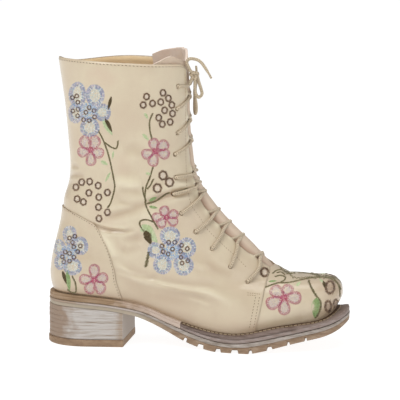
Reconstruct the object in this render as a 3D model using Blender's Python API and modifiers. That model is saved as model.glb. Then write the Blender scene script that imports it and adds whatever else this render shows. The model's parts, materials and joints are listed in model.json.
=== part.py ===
"""Lace-up boot for the right foot: a soft leather upper on a welted, lugged sole with a stacked heel.

The boot points along +X, its outer (lateral) side faces -Y and the floor is z = 0.
Sizes and tables are in millimetres and are scaled to metres where meshes are made.
"""

import math
from collections import namedtuple

import bmesh
import bpy
import numpy as np

MM = 0.001
LATERAL, MEDIAL = -1, 1

# Driving sizes in millimetres.
SOLE_LENGTH = 280.0
WALL = 2.0
GAP = 0.3
TONGUE_THICKNESS = 2.2
TONGUE_BULGE = 1.4
TONGUE_LEAN = 0.8
LACE_DIAMETER = 3.0
LACE_SPAN = 11.0
LACE_SLACK = 0.6
LACE_LIFT = 0.5
LACE_TUCK = 5.0
KNOT_GAP = 0.15
TOP_LIFT_THICKNESS = 6.5
INSOLE_THICKNESS = 3.0
TOE_SWING = 6.0
SWING_START_X = 10.0
VAMP_STEP = 0.8
COUNTER_THICKNESS = 1.0
COUNTER_GAP = 0.4
HEEL_LAYERS = 5
HEEL_COLUMNS = 9
LUG_DEPTH = 4.2
LUG_REACH = 15.0

TOE_X = SOLE_LENGTH / 2
HEEL_X = -SOLE_LENGTH / 2
WELT_START_X = -13.0
HEEL_BREAST_X = -65.0
HEEL_BREAST_SLANT = math.radians(3.5)
TIP = 0.2

# Heights along the sole: where the upper meets it, between its two layers, and its tread.
Profile = namedtuple("Profile", "x feather seam tread")
SOLE_PROFILE = (
    Profile(-140, 48.3, 42.3, 37.0),
    Profile(-112, 48.0, 42.0, 36.7),
    Profile(-90, 46.3, 40.3, 35.0),
    Profile(-69, 43.4, 37.4, 32.1),
    Profile(-55, 40.8, 34.8, 29.0),
    Profile(-42, 36.7, 30.7, 24.0),
    Profile(-26, 30.0, 23.8, 16.0),
    Profile(-12, 25.0, 18.4, 8.6),
    Profile(6, 20.6, 12.7, 2.4),
    Profile(20, 18.4, 9.8, 0.0),
    Profile(36, 17.6, 8.8, 0.0),
    Profile(50, 19.0, 10.2, 0.0),
    Profile(65, 21.8, 12.8, 2.6),
    Profile(81, 25.0, 15.8, 6.4),
    Profile(97, 28.0, 18.6, 9.8),
    Profile(109, 30.4, 20.8, 11.9),
    Profile(120, 33.0, 23.2, 14.3),
    Profile(131, 36.6, 26.6, 18.6),
    Profile(140, 41.0, 31.0, 24.5),
)

# Half-widths are given at these fractions of a ring's length, from the heel to the front.
STATIONS = (0.12, 0.42, 0.70, 0.88)
Plan = namedtuple("Plan", "back_x front_x lateral medial back_round front_round")
SOLE_PLAN = Plan(HEEL_X + 1.2, TOE_X, (32.0, 31.5, 49.6, 41), (32.0, 28, 45.5, 43), 38, 52)
INSOLE_PLAN = Plan(-131.0, 126.5, (25.0, 24.0, 39.0, 31), (25.0, 20, 38.0, 34), 34, 46)
HEEL_PLAN = Plan(HEEL_X + 0.6, TOE_X, (31.0, 31.0, 49.6, 41), (31.0, 31, 45.5, 43), 37, 52)
LIFT_PLAN = Plan(HEEL_X, TOE_X, (32.0, 32.0, 49.6, 41), (32.0, 32, 45.5, 43), 38, 52)

# Rings of the last, from the feather line over instep and ankle to a little above the collar.
Ring = namedtuple("Ring", "back_x back_z front_x front_z sag lateral medial back_round front_round")
RINGS = (
    Ring(-133.8, 48.95, 129.5, 36.7, 1.00, (28, 27, 42, 34), (28, 23, 41, 37), 34, 46),
    Ring(-136.2, 57.0, 134.5, 47.5, 0.97, (31, 30, 45, 36), (31, 27, 44, 39), 36, 48),
    Ring(-137.0, 65.5, 132.5, 58.0, 0.93, (32, 32, 45, 36), (32, 30, 44, 38), 37, 52),
    Ring(-136.2, 74.0, 124.5, 64.2, 0.85, (32, 33, 44, 34), (32, 32, 43, 36), 38, 56),
    Ring(-134.7, 83.0, 106.0, 65.8, 0.74, (32, 34, 43, 33), (32, 33, 42, 34), 39, 60),
    Ring(-132.3, 93.0, 87.0, 66.8, 0.61, (31, 35, 42, 33), (31, 35, 41, 34), 40, 62),
    Ring(-129.5, 104.0, 70.5, 75.5, 0.48, (31, 36, 41, 34), (31, 36, 40, 34), 42, 62),
    Ring(-127.0, 115.0, 49.0, 90.5, 0.34, (31, 37, 40, 34), (31, 37, 39, 34), 44, 60),
    Ring(-125.6, 126.0, 27.5, 110.0, 0.20, (32, 38, 39, 33), (32, 38, 39, 33), 46, 56),
    Ring(-124.4, 136.5, 9.5, 132.0, 0.10, (33, 38, 38, 33), (33, 38, 38, 33), 48, 52),
    Ring(-119.8, 152.0, -1.2, 156.0, 0.03, (34, 38, 37, 33), (34, 38, 37, 33), 50, 46),
    Ring(-118.7, 168.0, -5.8, 179.0, 0.00, (35, 39, 37, 33), (35, 39, 37, 33), 52, 42),
    Ring(-120.3, 192.0, -8.0, 204.5, 0.00, (37, 40, 38, 34), (37, 40, 38, 34), 54, 40),
    Ring(-123.3, 225.0, -8.6, 230.0, 0.00, (38, 41, 39, 35), (38, 41, 39, 35), 56, 40),
    Ring(-128.4, 261.5, -9.0, 255.5, 0.00, (39, 42, 40, 36), (39, 42, 40, 36), 58, 40),
    Ring(-131.5, 287.0, -10.5, 280.0, 0.00, (39, 42, 40, 36), (39, 42, 40, 36), 58, 40),
)
FRONT_POWER, BACK_POWER = 2.3, 2.1
COLLAR_LEVEL = 14.2
COLLAR_START = 12.0
THROAT_LEVEL = 6

# Level of the collar's rim round the boot, which is lower at the back of the inner side.
CollarRow = namedtuple("CollarRow", "degrees level")
COLLAR = (
    CollarRow(-180, 14.15),
    CollarRow(-150, 14.20),
    CollarRow(60, 14.20),
    CollarRow(90, 14.16),
    CollarRow(110, 14.08),
    CollarRow(127, 14.01),
    CollarRow(142, 13.98),
    CollarRow(160, 14.04),
    CollarRow(180, 14.15),
)

# Side view of the counter's front edge, from the back seam down to the sole.
EdgePoint = namedtuple("EdgePoint", "x z")
COUNTER_EDGE = (
    EdgePoint(-124.7, 127.5),
    EdgePoint(-110.7, 123.4),
    EdgePoint(-100.5, 119.3),
    EdgePoint(-90.8, 113.8),
    EdgePoint(-81.6, 96.7),
    EdgePoint(-74.5, 74.0),
    EdgePoint(-72.5, 61.7),
    EdgePoint(-67.3, 43.9),
)

# Side view of the line where the quarters lap over the toe piece.
VAMP_SEAM_LOW, VAMP_SEAM_HIGH = EdgePoint(55.7, 14.0), EdgePoint(69.3, 82.0)

# Notches between the lugs along the edge of the forefoot.
Notch = namedtuple("Notch", "x width")
NOTCHES = (
    Notch(-9.3, 2.5),
    Notch(5.6, 5.0),
    Notch(22.5, 4.5),
    Notch(38.1, 6.0),
    Notch(52.7, 3.0),
    Notch(70.1, 4.6),
    Notch(87.0, 2.4),
    Notch(102.5, 2.0),
)

# Half the opening of the throat, measured round the last, at each level.
ThroatRow = namedtuple("ThroatRow", "level half")
THROAT = (
    ThroatRow(0, 15.0),
    ThroatRow(6, 15.0),
    ThroatRow(8, 16.5),
    ThroatRow(9, 15.0),
    ThroatRow(10, 12.5),
    ThroatRow(11, 10.5),
    ThroatRow(12, 9.5),
    ThroatRow(14, 9.0),
)

# Eyelet rows: level and distance from the front, and the level where the lace meets the throat's edge.
LaceRow = namedtuple("LaceRow", "level girth edge_level")
LACING = (
    LaceRow(5.10, 55.0, 6.45),
    LaceRow(6.26, 51.0, 7.35),
    LaceRow(7.21, 46.5, 7.95),
    LaceRow(7.97, 45.0, 8.50),
    LaceRow(8.77, 43.0, 9.30),
    LaceRow(9.55, 40.0, 9.68),
    LaceRow(10.17, 33.0, 10.16),
    LaceRow(11.10, 30.0, 11.35),
    LaceRow(11.84, 26.0, 12.10),
    LaceRow(12.70, 26.0, 12.95),
    LaceRow(13.48, 25.0, 13.43),
)

# How far the foot pushes the tongue's middle up between the facings.
CrownRow = namedtuple("CrownRow", "level height")
TONGUE_CROWN = (
    CrownRow(6.0, 0.0),
    CrownRow(7.0, 2.2),
    CrownRow(8.5, 2.6),
    CrownRow(9.5, 2.0),
    CrownRow(10.5, 0.5),
    CrownRow(11.5, 0.0),
    CrownRow(14.0, 0.0),
)

# The tongue's free top edge: its outer half is folded lower than its inner half.
TopRow = namedtuple("TopRow", "turn level")
TONGUE_TOP = (
    TopRow(-1.01, 14.24),
    TopRow(-0.74, 14.49),
    TopRow(-0.59, 14.58),
    TopRow(-0.46, 14.49),
    TopRow(-0.26, 14.40),
    TopRow(-0.08, 14.33),
    TopRow(0.06, 14.74),
    TopRow(0.25, 14.77),
    TopRow(0.59, 14.68),
    TopRow(0.79, 14.59),
    TopRow(0.96, 14.50),
    TopRow(1.23, 14.24),
)

# The bow in front of the collar: its knot, two hanging loops and two ends.
RoutePoint = namedtuple("RoutePoint", "x y z")
KNOT = RoutePoint(-2.2, -5.0, 250.5)
KNOT_SIZE = RoutePoint(4.6, 4.8, 4.8)
LONG_END = (
    RoutePoint(-3.2, -6.0, 252.5),
    RoutePoint(-4.6, -7.5, 256.4),
    RoutePoint(-7.4, -9.4, 260.0),
    RoutePoint(-9.2, -9.8, 263.2),
    RoutePoint(-7.8, -9.8, 265.6),
    RoutePoint(-4.8, -9.8, 266.2),
    RoutePoint(0.5, -10.0, 265.1),
    RoutePoint(4.2, -10.5, 262.4),
    RoutePoint(7.3, -11.0, 258.3),
    RoutePoint(11.1, -12.0, 252.6),
    RoutePoint(13.3, -12.0, 248.5),
)
SHORT_END = (RoutePoint(-1.2, -4.8, 252.5), RoutePoint(-1.2, -4.8, 255.6), RoutePoint(-1.5, -5.2, 259.0))
NEAR_LOOP = (
    RoutePoint(-2.6, -6.8, 249.0),
    RoutePoint(-2.4, -6.5, 243.6),
    RoutePoint(-2.4, -6.6, 238.1),
    RoutePoint(-1.6, -6.4, 233.3),
    RoutePoint(1.1, -5.4, 230.2),
    RoutePoint(3.8, -4.2, 233.1),
    RoutePoint(2.8, -3.2, 237.8),
    RoutePoint(1.0, -3.8, 243.6),
    RoutePoint(-0.4, -4.2, 249.2),
)
FAR_LOOP = (
    RoutePoint(-2.0, -2.4, 248.6),
    RoutePoint(-1.6, 1.4, 246.0),
    RoutePoint(-3.0, 2.6, 240.0),
    RoutePoint(-3.6, 2.4, 234.3),
    RoutePoint(-3.2, 2.2, 228.6),
    RoutePoint(-2.4, 2.4, 223.4),
    RoutePoint(-2.2, 3.6, 218.2),
    RoutePoint(-3.0, 6.2, 214.2),
    RoutePoint(-4.0, 9.6, 213.6),
    RoutePoint(-4.6, 11.4, 218.0),
    RoutePoint(-4.4, 10.4, 226.0),
    RoutePoint(-3.8, 8.0, 235.0),
    RoutePoint(-3.0, 5.4, 243.0),
    RoutePoint(-1.4, 3.6, 249.8),
    RoutePoint(-1.8, -2.8, 252.6),
)
TOP_ENTRY = {LATERAL: RoutePoint(-4.2, -6.4, 249.6), MEDIAL: RoutePoint(-4.2, -3.2, 250.6)}


# Curves through tables

def smooth(x, knots, values):
    """Cubic curve through a table, held at its ends."""
    knots, values = np.asarray(knots, float), np.asarray(values, float)
    slopes = np.gradient(values, knots, axis=0)
    x = min(max(x, knots[0]), knots[-1])
    i = min(max(int(np.searchsorted(knots, x)) - 1, 0), len(knots) - 2)
    width = knots[i + 1] - knots[i]
    u = (x - knots[i]) / width
    return (
        (2 * u**3 - 3 * u**2 + 1) * values[i]
        + (u**3 - 2 * u**2 + u) * width * slopes[i]
        + (3 * u**2 - 2 * u**3) * values[i + 1]
        + (u**3 - u**2) * width * slopes[i + 1]
    )


def sole_height(x, line):
    """Height of one line of the sole's profile: feather, seam or tread."""
    knots = [row.x for row in SOLE_PROFILE]
    return float(smooth(x, knots, [getattr(row, line) for row in SOLE_PROFILE]))


def feather(x):
    return sole_height(x, "feather")


def seam(x):
    return sole_height(x, "seam")


def tread(x):
    return max(sole_height(x, "tread"), 0.0)


def swing(x):
    """The forefoot leans to the inner side."""
    u = min(max((x - SWING_START_X) / (TOE_X - SWING_START_X), 0.0), 1.0)
    return TOE_SWING * u * u * (3 - 2 * u)


def nose(distance, length, power):
    """Rounds off an end: 0 at the tip, 1 from a given length on."""
    u = 1.0 - min(max(distance / length, 0.0), 1.0)
    return (1.0 - u**power) ** (1.0 / power)


def half_width(plan, fraction, length, side):
    table = plan.lateral if side == LATERAL else plan.medial
    half = float(smooth(fraction, STATIONS, table))
    back = nose(fraction * length, plan.back_round, BACK_POWER)
    return half * back * nose((1 - fraction) * length, plan.front_round, FRONT_POWER)


# The last

RING_TABLE = np.array([np.hstack(ring) for ring in RINGS], float)


def ring_at(level):
    """A ring's row at any level between the table's rows."""
    values = smooth(level, range(len(RINGS)), RING_TABLE)
    return Ring(*values[:5], values[5:9], values[9:13], values[13], values[14])


def last_point(level, turn):
    """Point on the outer surface; turn is 0 at the front and +-pi at the heel, positive on the inner side."""
    turn = (turn + math.pi) % (2 * math.pi) - math.pi
    ring = ring_at(level)
    side = MEDIAL if turn >= 0 else LATERAL
    fraction = (1 + math.cos(turn)) / 2
    run, rise = ring.front_x - ring.back_x, ring.front_z - ring.back_z
    x = ring.back_x + run * fraction
    foot = RINGS[0]
    foot_x = foot.back_x + (foot.front_x - foot.back_x) * fraction
    chord = feather(foot.back_x) + (feather(foot.front_x) - feather(foot.back_x)) * fraction
    z = ring.back_z + rise * fraction + ring.sag * (feather(foot_x) - chord)
    y = side * half_width(ring, fraction, math.hypot(run, rise), side) + swing(x)
    return np.array((x, y, z))


def last_offset(level, turn, offset):
    """Point at a distance outside the last's surface, along its normal."""
    step = 1e-3
    up = last_point(level + step, turn) - last_point(level - step, turn)
    around = last_point(level, turn + step) - last_point(level, turn - step)
    normal = np.cross(around, up)
    return last_point(level, turn) + offset * normal / np.linalg.norm(normal)


def turn_at_girth(level, girth):
    """Turn of the point that lies a signed distance along the ring from its front."""
    side = MEDIAL if girth >= 0 else LATERAL
    turns = np.linspace(0.0, math.pi / 2, 80)
    points = np.array([last_point(level, side * turn) for turn in turns])
    run = np.concatenate(([0.0], np.cumsum(np.linalg.norm(np.diff(points, axis=0), axis=1))))
    return side * float(np.interp(abs(girth), run, turns))


def girth_point(level, girth, offset):
    return last_offset(level, turn_at_girth(level, girth), offset)


def throat_half(level):
    return float(smooth(level, [row.level for row in THROAT], [row.half for row in THROAT]))


def tongue_crown(level):
    return float(smooth(level, [row.level for row in TONGUE_CROWN], [row.height for row in TONGUE_CROWN]))


def tongue_top(turn):
    return float(np.interp(turn, [row.turn for row in TONGUE_TOP], [row.level for row in TONGUE_TOP]))


def collar_shift(level, turn):
    """How much a point near the collar moves along its column to end at the rim."""
    rim = smooth(math.degrees(turn), [row.degrees for row in COLLAR], [row.level for row in COLLAR])
    share = min(max((level - COLLAR_START) / (COLLAR_LEVEL - COLLAR_START), 0.0), 1.0)
    return float(rim - COLLAR_LEVEL) * share**2


# Making objects

def remove_old():
    for thing in list(bpy.data.objects):
        bpy.data.objects.remove(thing)


def collection(name):
    group = bpy.data.collections.new(name)
    bpy.context.scene.collection.children.link(group)
    return group


def finish_material(name, colour, roughness):
    material = bpy.data.materials.new(name)
    material.use_nodes = True
    shader = material.node_tree.nodes["Principled BSDF"]
    shader.inputs["Base Color"].default_value = (*colour, 1)
    shader.inputs["Roughness"].default_value = roughness
    shader.inputs["Metallic"].default_value = 0.0
    return material


def mesh_object(name, points, faces, group, material=None):
    mesh = bpy.data.meshes.new(name)
    mesh.from_pydata([tuple(np.asarray(point) * MM) for point in points], [], faces)
    body = bmesh.new()
    body.from_mesh(mesh)
    bmesh.ops.remove_doubles(body, verts=body.verts, dist=1e-6)
    bmesh.ops.recalc_face_normals(body, faces=body.faces)
    body.to_mesh(mesh)
    body.free()
    if material:
        mesh.materials.append(material)
        mesh.shade_smooth()
        mesh.set_sharp_from_angle(angle=math.radians(40))
    thing = bpy.data.objects.new(name, mesh)
    group.objects.link(thing)
    return thing


def as_cutter(thing):
    thing.hide_render = True
    thing.display_type = "WIRE"
    return thing


def solidify(thing, thickness):
    wall = thing.modifiers.new("wall", "SOLIDIFY")
    wall.thickness = thickness * MM
    wall.offset = -1.0
    wall.use_even_offset = True


def boolean(thing, other, operation):
    cut = thing.modifiers.new(operation.lower(), "BOOLEAN")
    cut.operation = operation
    cut.object = other


def sheet(name, rows, group, material=None, leave_out=lambda i, j: False):
    """Open surface through rows of points, one quad for each cell."""
    width = len(rows[0])
    faces = [
        (i * width + j, i * width + j + 1, (i + 1) * width + j + 1, (i + 1) * width + j)
        for i in range(len(rows) - 1)
        for j in range(width - 1)
        if not leave_out(i, j)
    ]
    return mesh_object(name, [point for row in rows for point in row], faces, group, material)


def loft(name, rings, group, material=None):
    """Closed body through closed rings whose second half runs back beside the first."""
    count = len(rings[0])
    faces = [
        (i * count + j, i * count + (j + 1) % count, (i + 1) * count + (j + 1) % count, (i + 1) * count + j)
        for i in range(len(rings) - 1)
        for j in range(count)
    ]
    for first in (0, (len(rings) - 1) * count):
        faces += [
            (first + j, first + j + 1, first + count - 2 - j, first + count - 1 - j)
            for j in range(count // 2 - 1)
        ]
    return mesh_object(name, [point for ring in rings for point in ring], faces, group, material)


# The upper and what is cut from its surface

FRONT_COLUMNS, SIDE_COLUMNS = 4, 18
VAMP_COLUMNS, BACK_COLUMNS, TONGUE_COLUMNS = 7, 8, 4
CUT_MARGIN = 10.0
FOOT_LEVELS = [0.5 * step for step in range(2 * THROAT_LEVEL)]
SHAFT_LEVELS = list(np.linspace(THROAT_LEVEL, COLLAR_LEVEL, 15))


def columns(level):
    """Turns of the grid's columns: across the throat, then back along each side to the heel."""
    edge = turn_at_girth(level, throat_half(level))
    side = np.linspace(edge, math.pi, SIDE_COLUMNS + 1)
    front = np.linspace(-edge, edge, FRONT_COLUMNS + 1)
    return np.concatenate((-side[:0:-1], front, side[1:]))


def make_upper(group, leather):
    levels = FOOT_LEVELS + SHAFT_LEVELS
    rows = [
        [last_point(level + collar_shift(level, turn), turn) for turn in columns(level)]
        for level in levels
    ]

    def in_throat(i, j):
        return i >= len(FOOT_LEVELS) and SIDE_COLUMNS <= j < SIDE_COLUMNS + FRONT_COLUMNS

    upper = sheet("upper", rows, group, leather, in_throat)
    solidify(upper, WALL)
    return upper


def prism(name, outline, half, group):
    """Block with an outline in side view, from one side of the boot to the other."""
    count = len(outline)
    points = [(point.x, y, point.z) for y in (-half, half) for point in outline]
    faces = [(j, (j + 1) % count, count + (j + 1) % count, count + j) for j in range(count)]
    faces += [tuple(range(count)), tuple(range(2 * count - 1, count - 1, -1))]
    return as_cutter(mesh_object(name, points, faces, group))


def cut_vamp_step(upper, cutters):
    """The toe piece lies one leather below the quarters that lap over it."""
    skip = SIDE_COLUMNS - VAMP_COLUMNS
    rows = []
    for level in FOOT_LEVELS + SHAFT_LEVELS[:2]:
        turns = columns(level)[skip:-skip]
        rows.append([last_offset(level, turn, WALL) for turn in turns])
    below = [point - np.array((0, 0, 2 * WALL)) for point in rows[0]]
    skin = as_cutter(sheet("vamp_skin", [below] + rows, cutters))
    solidify(skin, WALL + VAMP_STEP)
    far_x = TOE_X + CUT_MARGIN
    outline = (
        VAMP_SEAM_LOW,
        EdgePoint(far_x, VAMP_SEAM_LOW.z),
        EdgePoint(far_x, VAMP_SEAM_HIGH.z),
        VAMP_SEAM_HIGH,
    )
    boolean(skin, prism("vamp_block", outline, SOLE_LENGTH / 4, cutters), "INTERSECT")
    boolean(upper, skin, "DIFFERENCE")


def make_counter(group, cutters, leather):
    """Stiff heel piece on the outside of the upper, cut to its outline in side view."""
    rows = []
    for level in FOOT_LEVELS[:5] + FOOT_LEVELS[6::2] + SHAFT_LEVELS[:6]:
        turns = columns(level)
        back = np.concatenate((turns[-BACK_COLUMNS - 1:-1], 2 * math.pi + turns[:BACK_COLUMNS + 1]))
        rows.append([last_offset(level, turn, COUNTER_GAP + COUNTER_THICKNESS) for turn in back])
    counter = sheet("heel_counter", rows, group, leather)
    solidify(counter, COUNTER_THICKNESS)
    far_x = HEEL_X - CUT_MARGIN
    knots = range(len(COUNTER_EDGE))
    curve = [EdgePoint(*smooth(u, knots, COUNTER_EDGE)) for u in np.linspace(0, knots[-1], 15)]
    sole_line = [EdgePoint(x, feather(x) + 2 * GAP) for x in np.linspace(curve[-1].x, far_x, 7)]
    outline = [EdgePoint(far_x, curve[0].z + 2)] + curve + sole_line
    boolean(counter, prism("counter_block", outline, SOLE_LENGTH / 4, cutters), "INTERSECT")
    return counter


def make_tongue(group, leather):
    """Soft sheet inside the throat: crowned between its edges, wide and leaning back at its free top."""
    outer = TONGUE_COLUMNS
    keep = SIDE_COLUMNS - outer
    shares = [0.0] * (2 + len(SHAFT_LEVELS)) + [0.35, 0.7, 1.0]
    levels = FOOT_LEVELS[-2:] + SHAFT_LEVELS + [COLLAR_LEVEL] * 3
    rows = []
    for level, share in zip(levels, shares):
        turns = columns(level)[keep:-keep]
        crown = TONGUE_BULGE * min(max(level - THROAT_LEVEL, 0.0), max(COLLAR_LEVEL - level, 0.0), 1.0)
        crown += tongue_crown(level)
        lean = TONGUE_LEAN * min(max(level - COLLAR_LEVEL + 1.0, 0.0), 1.0)
        row = []
        for turn in turns:
            across = min(abs(turn) / turns[-outer - 1], 1.0)
            rise = share * (tongue_top(turn) - COLLAR_LEVEL)
            offset = crown * (1 - across**2) - WALL - GAP - lean
            row.append(last_offset(level + rise, turn, offset))
        rows.append(row)

    def trimmed(i, j):
        reach = outer if levels[i] > 11 else 3 if levels[i] > 8 else 2
        return not outer - reach <= j < outer + FRONT_COLUMNS + reach

    tongue = sheet("tongue", rows, group, leather, trimmed)
    solidify(tongue, TONGUE_THICKNESS)
    return tongue


# The lace

def route(points, spacing):
    """Places at even spacing along a smooth curve through a route's points."""
    knots = range(len(points))
    fine = np.array([smooth(u, knots, points) for u in np.linspace(0, len(points) - 1, 12 * len(points))])
    run = np.concatenate(([0.0], np.cumsum(np.linalg.norm(np.diff(fine, axis=0), axis=1))))
    places = np.linspace(0, run[-1], max(int(run[-1] / spacing), 2) + 1)
    return np.column_stack([np.interp(places, run, fine[:, axis]) for axis in range(3)])


def cord(name, points, group, material, resolution=2):
    curve = bpy.data.curves.new(name, "CURVE")
    curve.dimensions = "3D"
    curve.bevel_depth = LACE_DIAMETER / 2 * MM
    curve.bevel_resolution = resolution
    curve.use_fill_caps = True
    spline = curve.splines.new("POLY")
    spline.points.add(len(points) - 1)
    for place, point in zip(spline.points, points):
        place.co = (*(np.asarray(point) * MM), 1)
    curve.materials.append(material)
    thing = bpy.data.objects.new(name, curve)
    group.objects.link(thing)
    return thing


def cord_to_mesh(thing, group):
    """Mesh of a cord, with its caps welded on, in place of the curve."""
    evaluated = thing.evaluated_get(bpy.context.evaluated_depsgraph_get())
    mesh = bpy.data.meshes.new_from_object(evaluated)
    body = bmesh.new()
    body.from_mesh(mesh)
    bmesh.ops.remove_doubles(body, verts=body.verts, dist=1e-6)
    bmesh.ops.recalc_face_normals(body, faces=body.faces)
    body.to_mesh(mesh)
    body.free()
    name = thing.name
    solid = bpy.data.objects.new(name + "_mesh", mesh)
    solid.matrix_world = thing.matrix_world
    bpy.data.objects.remove(thing)
    solid.name = name
    group.objects.link(solid)
    return solid


LACE_HEIGHT = LACE_DIAMETER / 2 + GAP


def over_facing(row, side):
    """Points of a lace from its eyelet to the throat's edge."""
    half = throat_half(row.edge_level)
    steps = math.ceil((row.girth - half) / LACE_SPAN)
    points = [girth_point(row.level, side * row.girth, LACE_HEIGHT)]
    for step in range(1, steps + 1):
        level = row.level + (row.edge_level - row.level) * step / steps
        girth = row.girth + (half - row.girth) * step / steps
        points.append(girth_point(level, side * girth, LACE_HEIGHT + LACE_SLACK))
    return points


def strand(row, side):
    """Points of a lace from its eyelet over the throat's edge and the middle to below the other edge."""
    middle, far = row.edge_level + 0.12, row.edge_level + 0.24
    above = LACE_LIFT if side == MEDIAL else 0.0
    half = throat_half(row.edge_level)
    tuck = LACE_TUCK - half
    crown = tongue_crown(middle)
    return over_facing(row, side) + [
        girth_point(middle, 0.0, LACE_HEIGHT + above + crown),
        girth_point(far, side * tuck, LACE_HEIGHT - GAP + crown * (1 - (tuck / half) ** 2)),
    ]


def ball(name, centre, size, group, material=None):
    body = bmesh.new()
    bmesh.ops.create_uvsphere(body, u_segments=8, v_segments=6, radius=1.0)
    points = [np.array(vert.co) * size + centre for vert in body.verts]
    faces = [[vert.index for vert in face.verts] for face in body.faces]
    body.free()
    return mesh_object(name, points, faces, group, material)


def make_laces(group, cutters, cotton):
    for number, row in enumerate(LACING[:-1], 1):
        name = f"lace_cross_{number:02d}"
        cross = cord_to_mesh(cord(name, strand(row, LATERAL), group, cotton, 1), group)
        other = cord_to_mesh(cord(name + "_other", strand(row, MEDIAL), cutters, cotton, 1), cutters)
        boolean(cross, as_cutter(other), "UNION")
    size = np.array(KNOT_SIZE)
    ball("lace_knot", KNOT, size, group, cotton)
    space = as_cutter(ball("knot_space", KNOT, size + KNOT_GAP, cutters))
    top = LACING[-1]
    spacing = LACE_DIAMETER
    bow = {
        "lace_long_end": route(LONG_END, 1.5 * spacing),
        "lace_short_end": route(SHORT_END, spacing),
        "lace_near_loop": route(NEAR_LOOP, 1.2 * spacing),
        "lace_far_loop": route(FAR_LOOP, 2 * spacing),
        "lace_top_lateral": over_facing(top, LATERAL) + [np.array(TOP_ENTRY[LATERAL])],
        "lace_top_medial": over_facing(top, MEDIAL) + [np.array(TOP_ENTRY[MEDIAL])],
    }
    for name, points in bow.items():
        boolean(cord_to_mesh(cord(name, points, group, cotton), group), space, "DIFFERENCE")


# The sole

def plan_y(plan, x, side, inset=0.0):
    length = plan.front_x - plan.back_x
    fraction = (x - plan.back_x) / length
    half = half_width(plan, fraction, length, side)
    return side * max(half - inset, 0.3 * half) + swing(x)


def plan_stations(plan, start, end, count):
    """Places along the sole, crowded where an end is round."""
    start = max(start, plan.back_x + TIP)
    end = min(end, plan.front_x - TIP)
    turns = np.linspace(0, math.pi, count)
    return [start + (end - start) * (1 - math.cos(turn)) / 2 for turn in turns]


EdgeStep = namedtuple("EdgeStep", "height inset")


def slab(name, plan, start, end, bottom, top, edge, group, material, count=26):
    """Layer of the sole between two heights, with a stepped side."""
    rings = []
    for x in plan_stations(plan, start, end, count):
        low, high = bottom(x), top(x)
        sides = []
        for side, steps in ((LATERAL, edge), (MEDIAL, edge[::-1])):
            sides += [(x, plan_y(plan, x, side, s.inset), low + (high - low) * s.height) for s in steps]
        rings.append(sides)
    return loft(name, rings, group, material)


WELT_EDGE = (EdgeStep(0, 0.6), EdgeStep(0.1, 0), EdgeStep(0.5, 0), EdgeStep(0.58, 0.7), EdgeStep(1, 1.0))
RAND_EDGE = (EdgeStep(0, 0.3), EdgeStep(0.1, 0), EdgeStep(0.8, 0), EdgeStep(1, 0.7))
OUTSOLE_EDGE = (EdgeStep(0, 0.9), EdgeStep(0.68, 0.6), EdgeStep(0.76, 0), EdgeStep(1, 0))
INSOLE_EDGE = (EdgeStep(0, 0), EdgeStep(0.7, 0), EdgeStep(1, 0.8))


def lug_cutter(cutters):
    """Wedges that open the tread's edge between the lugs, and bars across its middle."""
    points, faces = [], []

    def wedge(x, width, inner, outer):
        slope = math.atan2(tread(x + 2) - tread(x - 2), 4)
        base = tread(x)
        first = len(points)
        for y in (inner, outer):
            for across, up in ((-0.75, -3), (0.75, -3), (0.4, LUG_DEPTH), (-0.4, LUG_DEPTH)):
                run = across * width
                points.append(
                    (
                        x + run * math.cos(slope) - up * math.sin(slope),
                        y,
                        base + run * math.sin(slope) + up * math.cos(slope),
                    )
                )
        corners = ((0, 1, 2, 3), (7, 6, 5, 4), (0, 4, 5, 1), (1, 5, 6, 2), (2, 6, 7, 3), (3, 7, 4, 0))
        faces.extend(tuple(first + corner for corner in face) for face in corners)

    for notch in NOTCHES:
        for side in (LATERAL, MEDIAL):
            edge = plan_y(SOLE_PLAN, notch.x, side)
            wedge(notch.x, notch.width, edge - side * LUG_REACH, edge + side * 10)
    middles = [(a.x + b.x) / 2 for a, b in zip(NOTCHES[:-1], NOTCHES[1:])]
    for x in middles:
        wedge(x, 3.0, swing(x) - LUG_REACH, swing(x) + LUG_REACH)
    return as_cutter(mesh_object("lug_wedges", points, faces, cutters))


def heel_ring(plan, z_of_x, inset):
    """Closed ring round the heel: along the outer side to the back and returning on the inner side."""
    lateral, medial = [], []
    for turn in np.linspace(0, math.pi / 2, HEEL_COLUMNS):
        reach = 1 - math.sin(turn)
        for side, line in ((LATERAL, lateral), (MEDIAL, medial)):
            back = plan.back_x + TIP
            y = plan_y(plan, back + (HEEL_BREAST_X - back) * reach, side, inset)
            breast = HEEL_BREAST_X - inset + y * math.tan(HEEL_BREAST_SLANT)
            x = back + inset + (breast - back - inset) * reach
            line.append((x, y, z_of_x(x)))
    return lateral + medial[::-1]


def make_heel(group, leather_board, rubber):
    """Stack of leather lifts with a fine groove at each joint, on a rubber top lift."""
    groove, shoulder = 0.5, 0.12
    foot = TOP_LIFT_THICKNESS + GAP
    rings = []
    for layer in range(HEEL_LAYERS):
        for part, inset in ((0.0, groove), (shoulder, 0.0), (1 - shoulder, 0.0)):
            rings.append((layer + part, inset))
    rings.append((HEEL_LAYERS, groove))

    def height(level):
        return lambda x: foot + (tread(x) - GAP - foot) * level / HEEL_LAYERS

    loft("heel_stack", [heel_ring(HEEL_PLAN, height(r), i) for r, i in rings], group, leather_board)
    lift = ((0.0, 1.0), (0.15, 0.0), (0.9, 0.0), (1.0, 0.5))
    loft(
        "top_lift",
        [heel_ring(LIFT_PLAN, lambda x, r=r: TOP_LIFT_THICKNESS * r, i) for r, i in lift],
        group,
        rubber,
    )


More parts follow.
